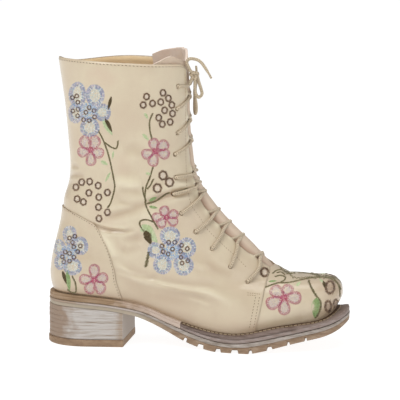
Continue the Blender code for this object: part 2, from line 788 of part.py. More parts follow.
def make_sole(group, cutters, welt_leather, leather_board, rubber, board):
    slab(
        "welt", SOLE_PLAN, WELT_START_X, TOE_X, lambda x: seam(x) + GAP, feather,
        WELT_EDGE, group, welt_leather,
    )
    slab(
        "seat_rand", SOLE_PLAN, HEEL_X, WELT_START_X - GAP, lambda x: seam(x) + GAP, feather,
        RAND_EDGE, group, leather_board,
    )
    outsole = slab(
        "outsole", SOLE_PLAN, HEEL_X, TOE_X, tread, seam, OUTSOLE_EDGE, group, rubber, count=34,
    )
    boolean(outsole, lug_cutter(cutters), "DIFFERENCE")
    make_heel(group, leather_board, rubber)
    slab(
        "insole", INSOLE_PLAN, HEEL_X, TOE_X, lambda x: feather(x) + GAP,
        lambda x: feather(x) + GAP + INSOLE_THICKNESS, INSOLE_EDGE, group, board,
    )


def main():
    remove_old()
    boot = collection("lace_up_boot")
    cutters = collection("cutters")
    leather = finish_material("cream_leather", (0.66, 0.55, 0.40), 0.45)
    lining = finish_material("tongue_leather", (0.60, 0.48, 0.36), 0.6)
    leather_board = finish_material("whitewashed_leather", (0.50, 0.45, 0.40), 0.7)
    welt_leather = finish_material("welt_leather", (0.24, 0.18, 0.15), 0.7)
    rubber = finish_material("brown_rubber", (0.34, 0.22, 0.14), 0.75)
    board = finish_material("insole_leather", (0.60, 0.44, 0.20), 0.7)
    upper = make_upper(boot, leather)
    cut_vamp_step(upper, cutters)
    make_counter(boot, cutters, leather)
    make_tongue(boot, lining)
    make_sole(boot, cutters, welt_leather, leather_board, rubber, board)
    make_laces(boot, cutters, finish_material("cotton_lace", (0.48, 0.40, 0.28), 0.85))


main()
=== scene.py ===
# %% [markdown]
# # A lace-up boot for the right foot
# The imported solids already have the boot's true form, so this lesson only dresses them.
# The upper is drawn again from the same last at a finer pitch, so that creases, laps and seams can be
# real geometry, and then come the stacked heel, the lugged sole, the lace, the stitches and the embroidery.
# Sizes are in millimetres and become metres where a mesh is made.

# %% Load the frame
import json
import math
from collections import namedtuple

import bmesh
import bpy
import numpy as np
from mathutils.bvhtree import BVHTree
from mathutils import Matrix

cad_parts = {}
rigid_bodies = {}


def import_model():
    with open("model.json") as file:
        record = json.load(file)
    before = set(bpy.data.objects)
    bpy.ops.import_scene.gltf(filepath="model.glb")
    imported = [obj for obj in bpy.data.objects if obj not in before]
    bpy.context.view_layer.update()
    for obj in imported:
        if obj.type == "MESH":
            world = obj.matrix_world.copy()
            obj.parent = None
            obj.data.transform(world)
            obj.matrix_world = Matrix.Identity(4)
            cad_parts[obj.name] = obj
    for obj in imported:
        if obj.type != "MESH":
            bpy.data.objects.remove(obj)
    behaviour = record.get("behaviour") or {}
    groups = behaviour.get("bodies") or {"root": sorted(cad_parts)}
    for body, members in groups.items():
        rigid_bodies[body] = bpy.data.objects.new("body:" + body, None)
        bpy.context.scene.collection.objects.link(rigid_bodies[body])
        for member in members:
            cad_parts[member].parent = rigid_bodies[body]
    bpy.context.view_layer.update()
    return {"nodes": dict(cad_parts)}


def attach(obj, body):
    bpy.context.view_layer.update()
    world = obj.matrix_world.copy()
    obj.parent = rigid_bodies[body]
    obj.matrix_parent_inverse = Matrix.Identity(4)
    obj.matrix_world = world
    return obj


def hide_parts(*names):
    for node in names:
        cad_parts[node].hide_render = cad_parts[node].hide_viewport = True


for leftover in list(bpy.data.objects):
    bpy.data.objects.remove(leftover)
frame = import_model()
MM = 0.001
LATERAL, MEDIAL = -1, 1
BOTH_SIDES = (LATERAL, MEDIAL)
FULL_TURN = 2 * math.pi
SEED = 5
random = np.random.default_rng(SEED)
print("nodes in the frame:", len(frame["nodes"]))

# %% [markdown]
# ## The camera
# The photograph looks at the outer side from a little in front and above, through a long lens.
# The same numbers give the ray behind any pixel, so that a motif read from the picture can be laid on the
# boot's own surface. The medial side takes the mirrored ray.

# %% Camera and rays
IMAGE_SIDE = 400
SENSOR = 36.0
FOCAL_PIXELS = 2818.0
DISTANCE = 2600.0
TARGET = np.array((1.55, 0.0, 134.0))
AZIMUTH, ELEVATION = math.radians(6.0), math.radians(9.6)
RIGHT = np.array((math.cos(AZIMUTH), math.sin(AZIMUTH), 0.0))
BACK = np.array((
    math.sin(AZIMUTH) * math.cos(ELEVATION),
    -math.cos(AZIMUTH) * math.cos(ELEVATION),
    math.sin(ELEVATION),
))
UP = np.cross(BACK, RIGHT)
EYE = TARGET + BACK * DISTANCE
PIXEL = DISTANCE / FOCAL_PIXELS

camera = bpy.data.objects.new("camera", bpy.data.cameras.new("camera"))
bpy.context.scene.collection.objects.link(camera)
camera.data.sensor_width = SENSOR
camera.data.lens = FOCAL_PIXELS / IMAGE_SIDE * SENSOR
camera.data.clip_end = 100.0
camera.location = EYE * MM
camera.rotation_euler = (math.pi / 2 - ELEVATION, 0.0, AZIMUTH)
bpy.context.scene.camera = camera


def photo_ray(pixel, side=LATERAL):
    """Start and direction of the ray behind a pixel; the medial side's is its mirror image."""
    across, down = pixel[0] - IMAGE_SIDE / 2, pixel[1] - IMAGE_SIDE / 2
    direction = RIGHT * across / FOCAL_PIXELS - UP * down / FOCAL_PIXELS - BACK
    mirror = np.array((1.0, -side, 1.0))
    return EYE * mirror, direction / np.linalg.norm(direction) * mirror


print(f"lens {camera.data.lens:.1f} mm, one pixel is {PIXEL:.2f} mm on the boot")

# %% [markdown]
# ## Colours, nodes and pieces
# Colours are written as the sRGB hex codes that a picture editor shows, and one function turns them to
# Blender's linear values. A second small function adds a shader node with its settings and links, whatever
# its kind. Then come the functions that turn arrays of points and faces into a piece that rides on the
# boot's only body.

# %% Colours and materials
def colour(code):
    """Linear RGBA of an sRGB hex code."""
    parts = [int(code[i:i + 2], 16) / 255 for i in (1, 3, 5)]
    return (*[v / 12.92 if v <= 0.04045 else ((v + 0.055) / 1.055) ** 2.4 for v in parts], 1.0)


def add_node(tree, kind, inputs=None, **settings):
    """Adds one shader node; an input is a value or another node's output socket."""
    made = tree.nodes.new("ShaderNode" + kind)
    for name, value in settings.items():
        setattr(made, name, value)
    for socket, value in (inputs or {}).items():
        if isinstance(value, bpy.types.NodeSocket):
            tree.links.new(value, made.inputs[socket])
        else:
            made.inputs[socket].default_value = value
    return made


def new_material(name, **sockets):
    """A material with a Principled shader whose plain sockets are set by name."""
    made = bpy.data.materials.new(name)
    made.use_nodes = True
    shader = made.node_tree.nodes["Principled BSDF"]
    for socket, value in sockets.items():
        shader.inputs[socket.replace("_", " ").title().replace("Ior", "IOR")].default_value = value
    return made, made.node_tree, shader


def link(tree, shader, **outputs):
    """Links outputs of nodes to the shader's sockets by name."""
    for socket, output in outputs.items():
        tree.links.new(output, shader.inputs[socket.replace("_", " ").title()])


def set_stops(tone, stops):
    """Gives a colour ramp its stops, each a place and a hex code."""
    marks = tone.color_ramp.elements
    while len(marks) < len(stops):
        marks.new(1.0)
    for mark, (place, code) in zip(marks, stops):
        mark.position = place
        mark.color = colour(code)


# %% Pieces and their faces
def shown(name, mesh, material, smooth_angle):
    """Object of a mesh, shaded smooth up to an angle, on the body root."""
    mesh.materials.append(material)
    mesh.shade_smooth()
    mesh.set_sharp_from_angle(angle=math.radians(smooth_angle))
    thing = bpy.data.objects.new(name, mesh)
    bpy.context.scene.collection.objects.link(thing)
    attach(thing, "root")
    return thing


def piece(name, points, faces, material, slot, smooth_angle=40.0):
    """Piece from points in millimetres, with all its faces turned outwards."""
    mesh = bpy.data.meshes.new(name)
    mesh.from_pydata((np.asarray(points) * MM).tolist(), [], faces)
    body = bmesh.new()
    body.from_mesh(mesh)
    bmesh.ops.recalc_face_normals(body, faces=body.faces)
    body.to_mesh(mesh)
    body.free()
    return shown(name, mesh, material, smooth_angle)


def bake_modifiers(thing):
    """Leaves the modifiers' result as the piece's own mesh."""
    made = bpy.data.meshes.new_from_object(thing.evaluated_get(bpy.context.evaluated_depsgraph_get()))
    thing.modifiers.clear()
    thing.data = made
    return thing


def thicken(thing, thickness, edge):
    """Gives an open sheet its leather's thickness, inwards, with another material on the cut edge."""
    thing.data.materials.append(edge)
    wall = thing.modifiers.new("thickness", "SOLIDIFY")
    wall.material_offset_rim = 1
    wall.thickness = thickness * MM
    wall.offset = -1.0
    wall.use_even_offset = True
    return thing


def grid_faces(rows, columns):
    """Quads of a grid whose points are listed row by row."""
    first = (np.arange(rows - 1)[:, None] * columns + np.arange(columns - 1)).ravel()
    return np.column_stack((first, first + 1, first + columns + 1, first + columns)).tolist()


def ring_faces(rings, sides, closed=False):
    """Quads between closed rings of points, and from the last ring to the first in a closed run."""
    here = np.arange(rings if closed else rings - 1)[:, None] * sides
    there = (here + sides) % (rings * sides)
    j, n = np.arange(sides), (np.arange(sides) + 1) % sides
    return np.stack((here + j, here + n, there + n, there + j), axis=-1).reshape(-1, 4).tolist()


def joined(parts):
    """Points and faces of several parts, each a pair of both, as one part."""
    points, faces, first = [], [], 0
    for part_points, part_faces in parts:
        points.append(part_points)
        faces += [[first + k for k in face] for face in part_faces]
        first += len(part_points)
    return np.concatenate(points), faces


# %% Lines and slopes
def unit(vectors):
    """The same directions with length one."""
    return vectors / np.linalg.norm(vectors, axis=-1, keepdims=True)


def run_along(points):
    """Distance along a line of points, from its start to each of them."""
    return np.concatenate(([0.0], np.cumsum(np.linalg.norm(np.diff(points, axis=0), axis=1))))


def at_places(places, run, points):
    """Points at some distances along a line."""
    return np.column_stack([np.interp(places, run, column) for column in points.T])


def even_places(points, spacing):
    """The same line with points at even distances."""
    points = np.asarray(points, float)
    run = run_along(points)
    return at_places(np.linspace(0, run[-1], max(int(round(run[-1] / spacing)), 2) + 1), run, points)


def ramp(x, start, end):
    """Straight slope from 0 at the start to 1 at the end."""
    return np.clip((x - start) / (end - start), 0.0, 1.0)


def ease(x, start, end):
    """The same slope, with soft ends."""
    u = ramp(x, start, end)
    return u * u * (3 - 2 * u)


def bell(distance, width=1.0):
    """1 at no distance, almost 0 at two widths."""
    return np.exp(-((distance / width) ** 2))


# %% [markdown]
# ## The last
# A shoemaker pulls the leather over a last, and every part of the upper takes its surface from it.
# Here the last is a table of rings, from the feather line at the sole over instep and ankle to the collar.
# A place on it has a level, counted in rings, and a turn, 0 at the front and half a circle at the heel.
# The functions take whole arrays, because the fine grids below have tens of thousands of points.

# %% Tables of the last and the sole
SOLE_LENGTH = 280.0
TOE_X, HEEL_X = SOLE_LENGTH / 2, -SOLE_LENGTH / 2
TOE_SWING, SWING_START_X = 6.0, 10.0
GAP = 0.3
Profile = namedtuple("Profile", "x feather seam tread")
SOLE_PROFILE = (
    Profile(-140, 48.3, 42.3, 37.0),
    Profile(-112, 48.0, 42.0, 36.7),
    Profile(-90, 46.3, 40.3, 35.0),
    Profile(-69, 43.4, 37.4, 32.1),
    Profile(-55, 40.8, 34.8, 29.0),
    Profile(-42, 36.7, 30.7, 24.0),
    Profile(-26, 30.0, 23.8, 16.0),
    Profile(-12, 25.0, 18.4, 8.6),
    Profile(6, 20.6, 12.7, 2.4),
    Profile(20, 18.4, 9.8, 0.0),
    Profile(36, 17.6, 8.8, 0.0),
    Profile(50, 19.0, 10.2, 0.0),
    Profile(65, 21.8, 12.8, 2.6),
    Profile(81, 25.0, 15.8, 6.4),
    Profile(97, 28.0, 18.6, 9.8),
    Profile(109, 30.4, 20.8, 11.9),
    Profile(120, 33.0, 23.2, 14.3),
    Profile(131, 36.6, 26.6, 18.6),
    Profile(140, 41.0, 31.0, 24.5),
)
STATIONS = np.array((0.12, 0.42, 0.70, 0.88))
Plan = namedtuple("Plan", "back_x front_x lateral medial back_round front_round")
SOLE_PLAN = Plan(HEEL_X + 1.2, TOE_X, (32.0, 31.5, 49.6, 41), (32.0, 28, 45.5, 43), 38, 52)
HEEL_PLAN = Plan(HEEL_X + 0.6, TOE_X, (31.0, 31.0, 49.6, 41), (31.0, 31, 45.5, 43), 37, 52)
LIFT_PLAN = Plan(HEEL_X, TOE_X, (32.0, 32.0, 49.6, 41), (32.0, 32, 45.5, 43), 38, 52)
Ring = namedtuple("Ring", "back_x back_z front_x front_z sag lateral medial back_round front_round")
RINGS = (
    Ring(-133.8, 48.95, 129.5, 36.7, 1.00, (28, 27, 42, 34), (28, 23, 41, 37), 34, 46),
    Ring(-136.2, 57.0, 134.5, 47.5, 0.97, (31, 30, 45, 36), (31, 27, 44, 39), 36, 48),
    Ring(-137.0, 65.5, 132.5, 58.0, 0.93, (32, 32, 45, 36), (32, 30, 44, 38), 37, 52),
    Ring(-136.2, 74.0, 124.5, 64.2, 0.85, (32, 33, 44, 34), (32, 32, 43, 36), 38, 56),
    Ring(-134.7, 83.0, 106.0, 65.8, 0.74, (32, 34, 43, 33), (32, 33, 42, 34), 39, 60),
    Ring(-132.3, 93.0, 87.0, 66.8, 0.61, (31, 35, 42, 33), (31, 35, 41, 34), 40, 62),
    Ring(-129.5, 104.0, 70.5, 75.5, 0.48, (31, 36, 41, 34), (31, 36, 40, 34), 42, 62),
    Ring(-127.0, 115.0, 49.0, 90.5, 0.34, (31, 37, 40, 34), (31, 37, 39, 34), 44, 60),
    Ring(-125.6, 126.0, 27.5, 110.0, 0.20, (32, 38, 39, 33), (32, 38, 39, 33), 46, 56),
    Ring(-124.4, 136.5, 9.5, 132.0, 0.10, (33, 38, 38, 33), (33, 38, 38, 33), 48, 52),
    Ring(-119.8, 152.0, -1.2, 156.0, 0.03, (34, 38, 37, 33), (34, 38, 37, 33), 50, 46),
    Ring(-118.7, 168.0, -5.8, 179.0, 0.00, (35, 39, 37, 33), (35, 39, 37, 33), 52, 42),
    Ring(-120.3, 192.0, -8.0, 204.5, 0.00, (37, 40, 38, 34), (37, 40, 38, 34), 54, 40),
    Ring(-123.3, 225.0, -8.6, 230.0, 0.00, (38, 41, 39, 35), (38, 41, 39, 35), 56, 40),
    Ring(-128.4, 261.5, -9.0, 255.5, 0.00, (39, 42, 40, 36), (39, 42, 40, 36), 58, 40),
    Ring(-131.5, 287.0, -10.5, 280.0, 0.00, (39, 42, 40, 36), (39, 42, 40, 36), 58, 40),
)
RING_TABLE = np.array([np.hstack(ring) for ring in RINGS], float)
FRONT_POWER, BACK_POWER = 2.3, 2.1
COLLAR_LEVEL, COLLAR_START, THROAT_LEVEL = 14.2, 12.0, 6
CollarRow = namedtuple("CollarRow", "degrees level")
COLLAR = (
    CollarRow(-180, 14.15),
    CollarRow(-150, 14.20),
    CollarRow(60, 14.20),
    CollarRow(90, 14.16),
    CollarRow(110, 14.08),
    CollarRow(127, 14.01),
    CollarRow(142, 13.98),
    CollarRow(160, 14.04),
    CollarRow(180, 14.15),
)
ThroatRow = namedtuple("ThroatRow", "level half")
THROAT = (
    ThroatRow(0, 15.0),
    ThroatRow(6, 15.0),
    ThroatRow(8, 16.5),
    ThroatRow(9, 15.0),
    ThroatRow(10, 12.5),
    ThroatRow(11, 10.5),
    ThroatRow(12, 9.5),
    ThroatRow(14, 9.0),
)


# %% The last's surface
def between(u, width, low, high, low_slope, high_slope):
    """Cubic between two table rows with given slopes."""
    return (
        (2 * u**3 - 3 * u**2 + 1) * low
        + (u**3 - 2 * u**2 + u) * width * low_slope
        + (3 * u**2 - 2 * u**3) * high
        + (u**3 - u**2) * width * high_slope
    )


def smooth(x, knots, values):
    """Cubic curve through a table, held at its ends."""
    knots, values = np.asarray(knots, float), np.asarray(values, float)
    slopes = np.gradient(values, knots, axis=0)
    x = np.clip(np.asarray(x, float), knots[0], knots[-1])
    i = np.clip(np.searchsorted(knots, x) - 1, 0, len(knots) - 2)
    width = knots[i + 1] - knots[i]
    u = (x - knots[i]) / width
    if values.ndim > 1:
        u, width = u[..., None], width[..., None]
    return between(u, width, values[i], values[i + 1], slopes[i], slopes[i + 1])


def sole_height(x, line):
    """Height of one line of the sole's profile: feather, seam or tread."""
    knots = [row.x for row in SOLE_PROFILE]
    return np.maximum(smooth(x, knots, [getattr(row, line) for row in SOLE_PROFILE]), 0.0)


def swing(x):
    """The forefoot leans to the inner side."""
    return TOE_SWING * ease(x, SWING_START_X, TOE_X)


def nose(distance, length, power):
    """Rounds off an end: 0 at the tip, 1 from a given length on."""
    u = 1.0 - np.clip(distance / length, 0.0, 1.0)
    return (1.0 - u**power) ** (1.0 / power)


def half_width(tables, fraction, length, back_round, front_round):
    """Half-widths between the stations, rounded off at both ends; each point has its own table row."""
    slopes = np.gradient(tables, STATIONS, axis=-1)
    place = np.clip(fraction, STATIONS[0], STATIONS[-1])
    i = np.clip(np.searchsorted(STATIONS, place) - 1, 0, len(STATIONS) - 2)
    width = STATIONS[i + 1] - STATIONS[i]
    ends = [
        np.take_along_axis(table, index[..., None], -1)[..., 0]
        for table in (tables, slopes)
        for index in (i, i + 1)
    ]
    half = between((place - STATIONS[i]) / width, width, *ends)
    back = nose(fraction * length, back_round, BACK_POWER)
    return half * back * nose((1 - fraction) * length, front_round, FRONT_POWER)


def wrapped(turn):
    """The same turn between minus and plus half a circle."""
    return (np.asarray(turn, float) + math.pi) % FULL_TURN - math.pi


def surface(level, turn):
    """Points on the last at arrays of levels and turns, positive turns on the inner side."""
    level, turn = np.broadcast_arrays(np.asarray(level, float), wrapped(turn))
    ring = smooth(level, np.arange(len(RINGS)), RING_TABLE)
    back_x, back_z, front_x, front_z, sag = np.moveaxis(ring[..., :5], -1, 0)
    inner = turn >= 0
    tables = np.where(inner[..., None], ring[..., 9:13], ring[..., 5:9])
    fraction = (1 + np.cos(turn)) / 2
    run, rise = front_x - back_x, front_z - back_z
    x = back_x + run * fraction
    foot = RINGS[0]
    foot_x = foot.back_x + (foot.front_x - foot.back_x) * fraction
    heel_seat, toe_seat = sole_height(foot.back_x, "feather"), sole_height(foot.front_x, "feather")
    chord = heel_seat + (toe_seat - heel_seat) * fraction
    z = back_z + rise * fraction + sag * (sole_height(foot_x, "feather") - chord)
    half = half_width(tables, fraction, np.hypot(run, rise), ring[..., 13], ring[..., 14])
    return np.stack((x, np.where(inner, half, -half) + swing(x), z), axis=-1)


NORMAL_STEP = 1e-3
FRONT_TURNS = np.linspace(0.0, 0.6 * math.pi, 300)
FINE_TURNS = 900


def last(level, turn, offset):
    """Points at a distance outside the last, along its normal."""
    level, turn = np.asarray(level, float), np.asarray(turn, float)
    up = surface(level + NORMAL_STEP, turn) - surface(level - NORMAL_STEP, turn)
    around = surface(level, turn + NORMAL_STEP) - surface(level, turn - NORMAL_STEP)
    return surface(level, turn) + np.asarray(offset, float)[..., None] * unit(np.cross(around, up))


def turn_at(level, girth):
    """Turn of the place that lies a signed distance along a ring from its front."""
    side = math.copysign(1, girth)
    return side * float(np.interp(abs(girth), run_along(surface(level, side * FRONT_TURNS)), FRONT_TURNS))


def girth_point(level, girth, offset):
    """Point at a signed distance along a ring from its front."""
    return last(level, turn_at(level, girth), offset)


def throat_half(level):
    """Half the width of the opening between the facings."""
    return float(smooth(level, *zip(*THROAT)))


def collar_shift(level, turn):
    """How much a point near the collar moves along its column to end at the rim."""
    rim = smooth(np.degrees(wrapped(turn)), *zip(*COLLAR))
    return (rim - COLLAR_LEVEL) * ramp(level, COLLAR_START, COLLAR_LEVEL) ** 2


def even_turns(level, start, end, count):
    """Turns at even distances along a ring."""
    turns = np.linspace(start, end, FINE_TURNS)
    run = run_along(surface(level, turns))
    return np.interp(np.linspace(0, run[-1], count), run, turns)


def turns_behind(levels, edge, columns):
    """Turns of a sheet round the heel, from its front edge on one side to that on the other."""
    return np.array([
        even_turns(level, edge(level, MEDIAL), FULL_TURN - edge(level, LATERAL), columns) for level in levels
    ])


LEVEL_STEPS = 500


def even_levels(low, high, step):
    """Levels about a step apart on the boot, measured where the rings lie widest apart."""
    levels = np.linspace(low, high, LEVEL_STEPS)
    runs = [run_along(surface(levels, turn)) for turn in (0.0, math.pi / 2, math.pi)]
    run = np.max(runs, axis=0)
    return np.interp(np.linspace(0, run[-1], int(run[-1] / step) + 1), run, levels)


GUIDE_PITCH, GUIDE_COLUMNS = 4.0, 241
GUIDE_LEVELS = even_levels(0, COLLAR_LEVEL, GUIDE_PITCH)
GUIDE_TURNS = np.linspace(-math.pi, math.pi, GUIDE_COLUMNS)
guide_points = surface(GUIDE_LEVELS[:, None], GUIDE_TURNS).reshape(-1, 3)
guide = BVHTree.FromPolygons(guide_points.tolist(), grid_faces(len(GUIDE_LEVELS), len(GUIDE_TURNS)))
NUDGE_SIZES = np.arange(0.5, 16.0, 0.5)
NUDGE_WAYS = ((0, 1), (1, 0), (-1, 0))
NUDGES = [(0.0, 0.0)] + [(x * size, y * size) for size in NUDGE_SIZES for x, y in NUDGE_WAYS]


def trace(tree, pixel, side=LATERAL):
    """Place and normal on a surface behind a pixel; a pixel beyond the outline slides onto it."""
    for across, down in NUDGES:
        start, direction = photo_ray((pixel[0] + across, pixel[1] + down), side)
        place, normal, _, _ = tree.ray_cast(start, direction)
        if place is not None:
            normal = np.array(normal)
            return np.array(place), normal if normal @ direction < 0 else -normal
    raise ValueError(f"no surface behind pixel {pixel}")


print("collar", np.round(surface(COLLAR_LEVEL, np.array((0.0, math.pi))), 1).tolist())

# %% [markdown]
# ## Leather
# The upper is smooth aniline-dyed cowhide with a wax finish. It shows pale, slightly uneven cream with
# pinker and greyer clouds where it was pulled hard, a grain too fine to see from a step away, and a soft
# sheen that breaks up over the creases. The real grain is about half a millimetre, and it is drawn twice
# as large so that it shows. Polished wax keeps the roughness near 0.3, with a thin coat on top. Each sheet
# carries an attribute of painted shade, which darkens the creases, the leather near the welt, the toe's tip
# and the tongue's valleys, and lightens the ridges as a painted highlight; the counter also takes an even
# darker tone of its own from it.

# %% Leather materials
GRAIN, GRAIN_HEIGHT = 1.0, 0.4
CLOUD = 45.0
COAT_ROUGHNESS = 0.2
# Warm tint of the painted shade.
PAINTED_SHADE_TINT = (-0.28, -0.38, -0.42)
NOISE_LOW, NOISE_HIGH = 0.3, 0.7
GLOSSIER, DULLER = -0.02, 0.06


def leather(name, tones, roughness, grain_depth, coat):
    """Dyed leather: clouds of tone, pebbled grain, a little wax, and the sheet's painted shade and highlight.
    """
    made, tree, shader = new_material(name, ior=1.5, coat_weight=coat, coat_roughness=COAT_ROUGHNESS)
    place = add_node(tree, "TexCoord").outputs["Object"]
    inputs = {"Vector": place, "Scale": 1 / (CLOUD * MM), "Detail": 4.0, "Roughness": 0.55}
    cloud = add_node(tree, "TexNoise", inputs).outputs["Fac"]
    tone = add_node(tree, "ValToRGB", {"Fac": cloud})
    set_stops(tone, tones)
    # Painted shade, and painted highlight where the attribute is negative, in a warm tint.
    painted_shading = add_node(tree, "Attribute", attribute_name="painted_shade_and_tone").outputs["Fac"]
    shade = add_node(tree, "VectorMath", {0: painted_shading, 1: PAINTED_SHADE_TINT, 2: (1, 1, 1)}, operation="MULTIPLY_ADD")
    inputs = {0: tone.outputs["Color"], 1: shade.outputs[0]}
    tint = add_node(tree, "VectorMath", inputs, operation="MULTIPLY")
    pebble = add_node(tree, "TexVoronoi", {"Vector": place, "Scale": 1 / (GRAIN * MM)}, feature="SMOOTH_F1")
    fibre = add_node(tree, "TexNoise", {"Vector": place, "Scale": 1 / (4 * GRAIN * MM), "Detail": 6.0})
    inputs = {0: pebble.outputs["Distance"], 1: fibre.outputs["Fac"]}
    grain = add_node(tree, "Math", inputs, operation="ADD").outputs[0]
    inputs = {"Height": grain, "Strength": grain_depth, "Distance": GRAIN_HEIGHT * MM}
    bump = add_node(tree, "Bump", inputs)
    inputs = {0: cloud, 1: NOISE_LOW, 2: NOISE_HIGH, 3: roughness + GLOSSIER, 4: roughness + DULLER}
    shine = add_node(tree, "MapRange", inputs)
    link(tree, shader, base_color=tint.outputs[0], normal=bump.outputs[0], roughness=shine.outputs[0])
    return made


def painted_shade_and_tone(thing, amounts):
    """Paints shade on a sheet as an attribute, and a painted highlight where the amount is negative; 1 is
    darkest.
    """
    layer = thing.data.attributes.new("painted_shade_and_tone", "FLOAT", "POINT")
    layer.data.foreach_set("value", np.asarray(amounts, np.float32).ravel())


CREAM_TONES = ((0.30, "#CFBCA2"), (0.45, "#D2C1A6"), (0.58, "#D7C8AC"), (0.75, "#D4C0A6"))
TONGUE_TONES = ((0.30, "#CDB6A0"), (0.55, "#D8C4AE"), (0.75, "#D2BCA6"))
LINING_TONES = ((0.30, "#DDBC8C"), (0.55, "#E8CDA2"), (0.75, "#E2C396"))
FLESH_TONES = ((0.30, "#E8D0BE"), (0.55, "#F0DFD0"), (0.75, "#EAD5BE"))
cream_leather = leather("aniline_cream_cowhide", CREAM_TONES, 0.31, 0.18, 0.5)
EDGE_TONES = ((0.30, "#A08A70"), (0.55, "#B09A80"), (0.75, "#BBA78D"))
raw_edge = leather("raw_leather_edge", EDGE_TONES, 0.7, 0.5, 0.0)
tongue_leather = leather("pinkish_lining_leather", TONGUE_TONES, 0.62, 0.3, 0.0)
lining_leather = leather("mustard_lining_leather", LINING_TONES, 0.65, 0.3, 0.0)
flesh_side = leather("pale_pink_flesh_side", FLESH_TONES, 0.7, 0.3, 0.0)
print("leathers:", cream_leather.name, tongue_leather.name, lining_leather.name)

# %% [markdown]
# ## Creases
# A worn boot creases where it bends: across the ankle, behind the counter and in fine lines at the back.
# Each crease is given as a line of picture points with a depth and a width. A point of the upper
# near that line sinks by a soft bell curve, with a low ridge on both lips, and the ends fade out.
# A ridge has a negative depth, and the hidden side gets weaker ones.

# %% Crease table and displacement
Crease = namedtuple("Crease", "depth width line")
CREASES = (
    Crease(2.0, 2.2, ((92, 223.5), (100, 227.6), (112.4, 230.6), (124, 231.2), (136, 228.5))),
    Crease(1.5, 3.6, ((104, 217), (117, 214), (130, 210.5), (146, 203.5))),
    Crease(2.4, 3.6, ((140, 206), (155, 199.5), (163, 196.3), (172, 193.8), (181, 192), (193, 189.5))),
    Crease(0.8, 2.6, ((118, 201), (128, 203.5), (141, 204.5))),
    Crease(1.2, 3.0, ((118, 188.5), (130, 189.5), (142, 191))),
    Crease(1.2, 4.0, ((122, 241), (131, 239), (143, 235))),
    Crease(1.0, 4.0, ((120, 251), (130, 249), (140, 245))),
    Crease(1.0, 2.4, ((70, 174.5), (77, 174.8), (85, 175.6))),
    Crease(0.9, 2.2, ((72, 165.5), (79, 166.5))),
    Crease(0.6, 5.0, ((126, 286), (150, 295), (176, 300), (200, 305))),
    Crease(0.9, 2.2, ((118, 268), (128, 274), (140, 278), (154, 279))),
    Crease(0.9, 3.0, ((176, 178), (183, 178.5), (191, 179))),
    Crease(0.8, 4.0, ((205, 262), (216, 270), (232, 276))),
    Crease(0.8, 5.0, ((122, 150), (136, 148), (146, 152))),
)
RIDGES = (
    Crease(-1.8, 3.6, (
        (113, 260), (123, 269), (135, 277), (150, 281.5), (163, 284), (185, 288), (208, 291), (222, 298),
        (232, 306),
    )),
    Crease(-0.8, 1.9, ((113, 272), (135, 277.5), (163, 283), (185, 287), (208, 291))),
    Crease(-0.6, 2.2, ((186, 297), (198, 300.5), (212, 306))),
    Crease(-0.5, 2.4, ((191, 262), (200, 266), (210, 269))),
    Crease(-1.3, 4.5, ((101, 232), (109, 243), (116, 258))),
    Crease(-1.4, 7.0, ((114, 180), (128, 184), (142, 183))),
    Crease(-1.0, 6.0, ((140, 214), (152, 217), (168, 217))),
)
CREASE_SHARE = {LATERAL: 1.0, MEDIAL: 0.8}
CREASE_SPACING = 2.0
LIP_SHARE, LIP_PLACE = 0.35, 1.7


def crease_offsets(points):
    """How far each point sinks or rises for the creases, in millimetres."""
    moved = np.zeros(len(points))
    for crease in CREASES + RIDGES:
        for side in BOTH_SIDES:
            line = even_places([trace(guide, pixel, side)[0] for pixel in crease.line], CREASE_SPACING)
            gaps = np.linalg.norm(points[:, None] - line[None], axis=2)
            nearest = gaps.argmin(axis=1)
            distance = gaps[np.arange(len(points)), nearest] / crease.width
            along = nearest / (len(line) - 1)
            fade = 1 - np.abs(2 * along - 1) ** 3
            trough = bell(distance) - LIP_SHARE * bell(distance - LIP_PLACE)
            moved -= CREASE_SHARE[side] * crease.depth * fade * trough
    return moved


print("creases and ridges:", len(CREASES), len(RIDGES))

# %% [markdown]
# ## Quarters and toe piece
# In a derby cut the two quarters lap over the toe piece and leave the throat open over the tongue.
# The quarters are one grid from facing to facing round the heel, its front edge on the lap seam and then on
# the throat. The toe piece lies one leather lower and dips under the lap. Solidify then gives each its
# thickness, and the punched eyelets are cut through with a Boolean. A hidden skirt takes the leather down
# behind the welt, and the facings rise a little where the lace dives under them.

# %% Edges of the pattern pieces
EdgePoint = namedtuple("EdgePoint", "x z")
VAMP_SEAM_LOW, VAMP_SEAM_HIGH = EdgePoint(55.7, 14.0), EdgePoint(69.3, 82.0)
COUNTER_EDGE = (
    EdgePoint(-124.7, 127.5),
    EdgePoint(-110.7, 123.4),
    EdgePoint(-100.5, 119.3),
    EdgePoint(-90.8, 113.8),
    EdgePoint(-81.6, 96.7),
    EdgePoint(-74.5, 74.0),
    EdgePoint(-72.5, 61.7),
    EdgePoint(-67.3, 43.9),
)
COUNTER_STEPS, FIRST_TURN = 120, 0.02
counter_places = np.linspace(0, len(COUNTER_EDGE) - 1, COUNTER_STEPS)
counter_curve = smooth(counter_places, range(len(COUNTER_EDGE)), COUNTER_EDGE)


def vamp_line(z):
    """Side view of the lap seam: x at a height."""
    slope = (VAMP_SEAM_HIGH.x - VAMP_SEAM_LOW.x) / (VAMP_SEAM_HIGH.z - VAMP_SEAM_LOW.z)
    return VAMP_SEAM_LOW.x + slope * (z - VAMP_SEAM_LOW.z)


def counter_line(z):
    """Side view of the counter's front edge: x at a height, far behind the boot above its top."""
    return np.interp(z, counter_curve[::-1, 1], counter_curve[::-1, 0], right=2 * HEEL_X)


def edge_turn(level, side, line):
    """Turn on one side from which a ring lies behind a line."""
    turns = np.linspace(FIRST_TURN, math.pi, FINE_TURNS)
    points = surface(level, side * turns)
    ahead = points[:, 0] - line(points[:, 2])
    behind = np.flatnonzero(ahead < 0)
    if len(behind) == 0:
        return math.pi
    k = max(behind[0], 1)
    return turns[k - 1] + (turns[k] - turns[k - 1]) * ahead[k - 1] / (ahead[k - 1] - ahead[k])


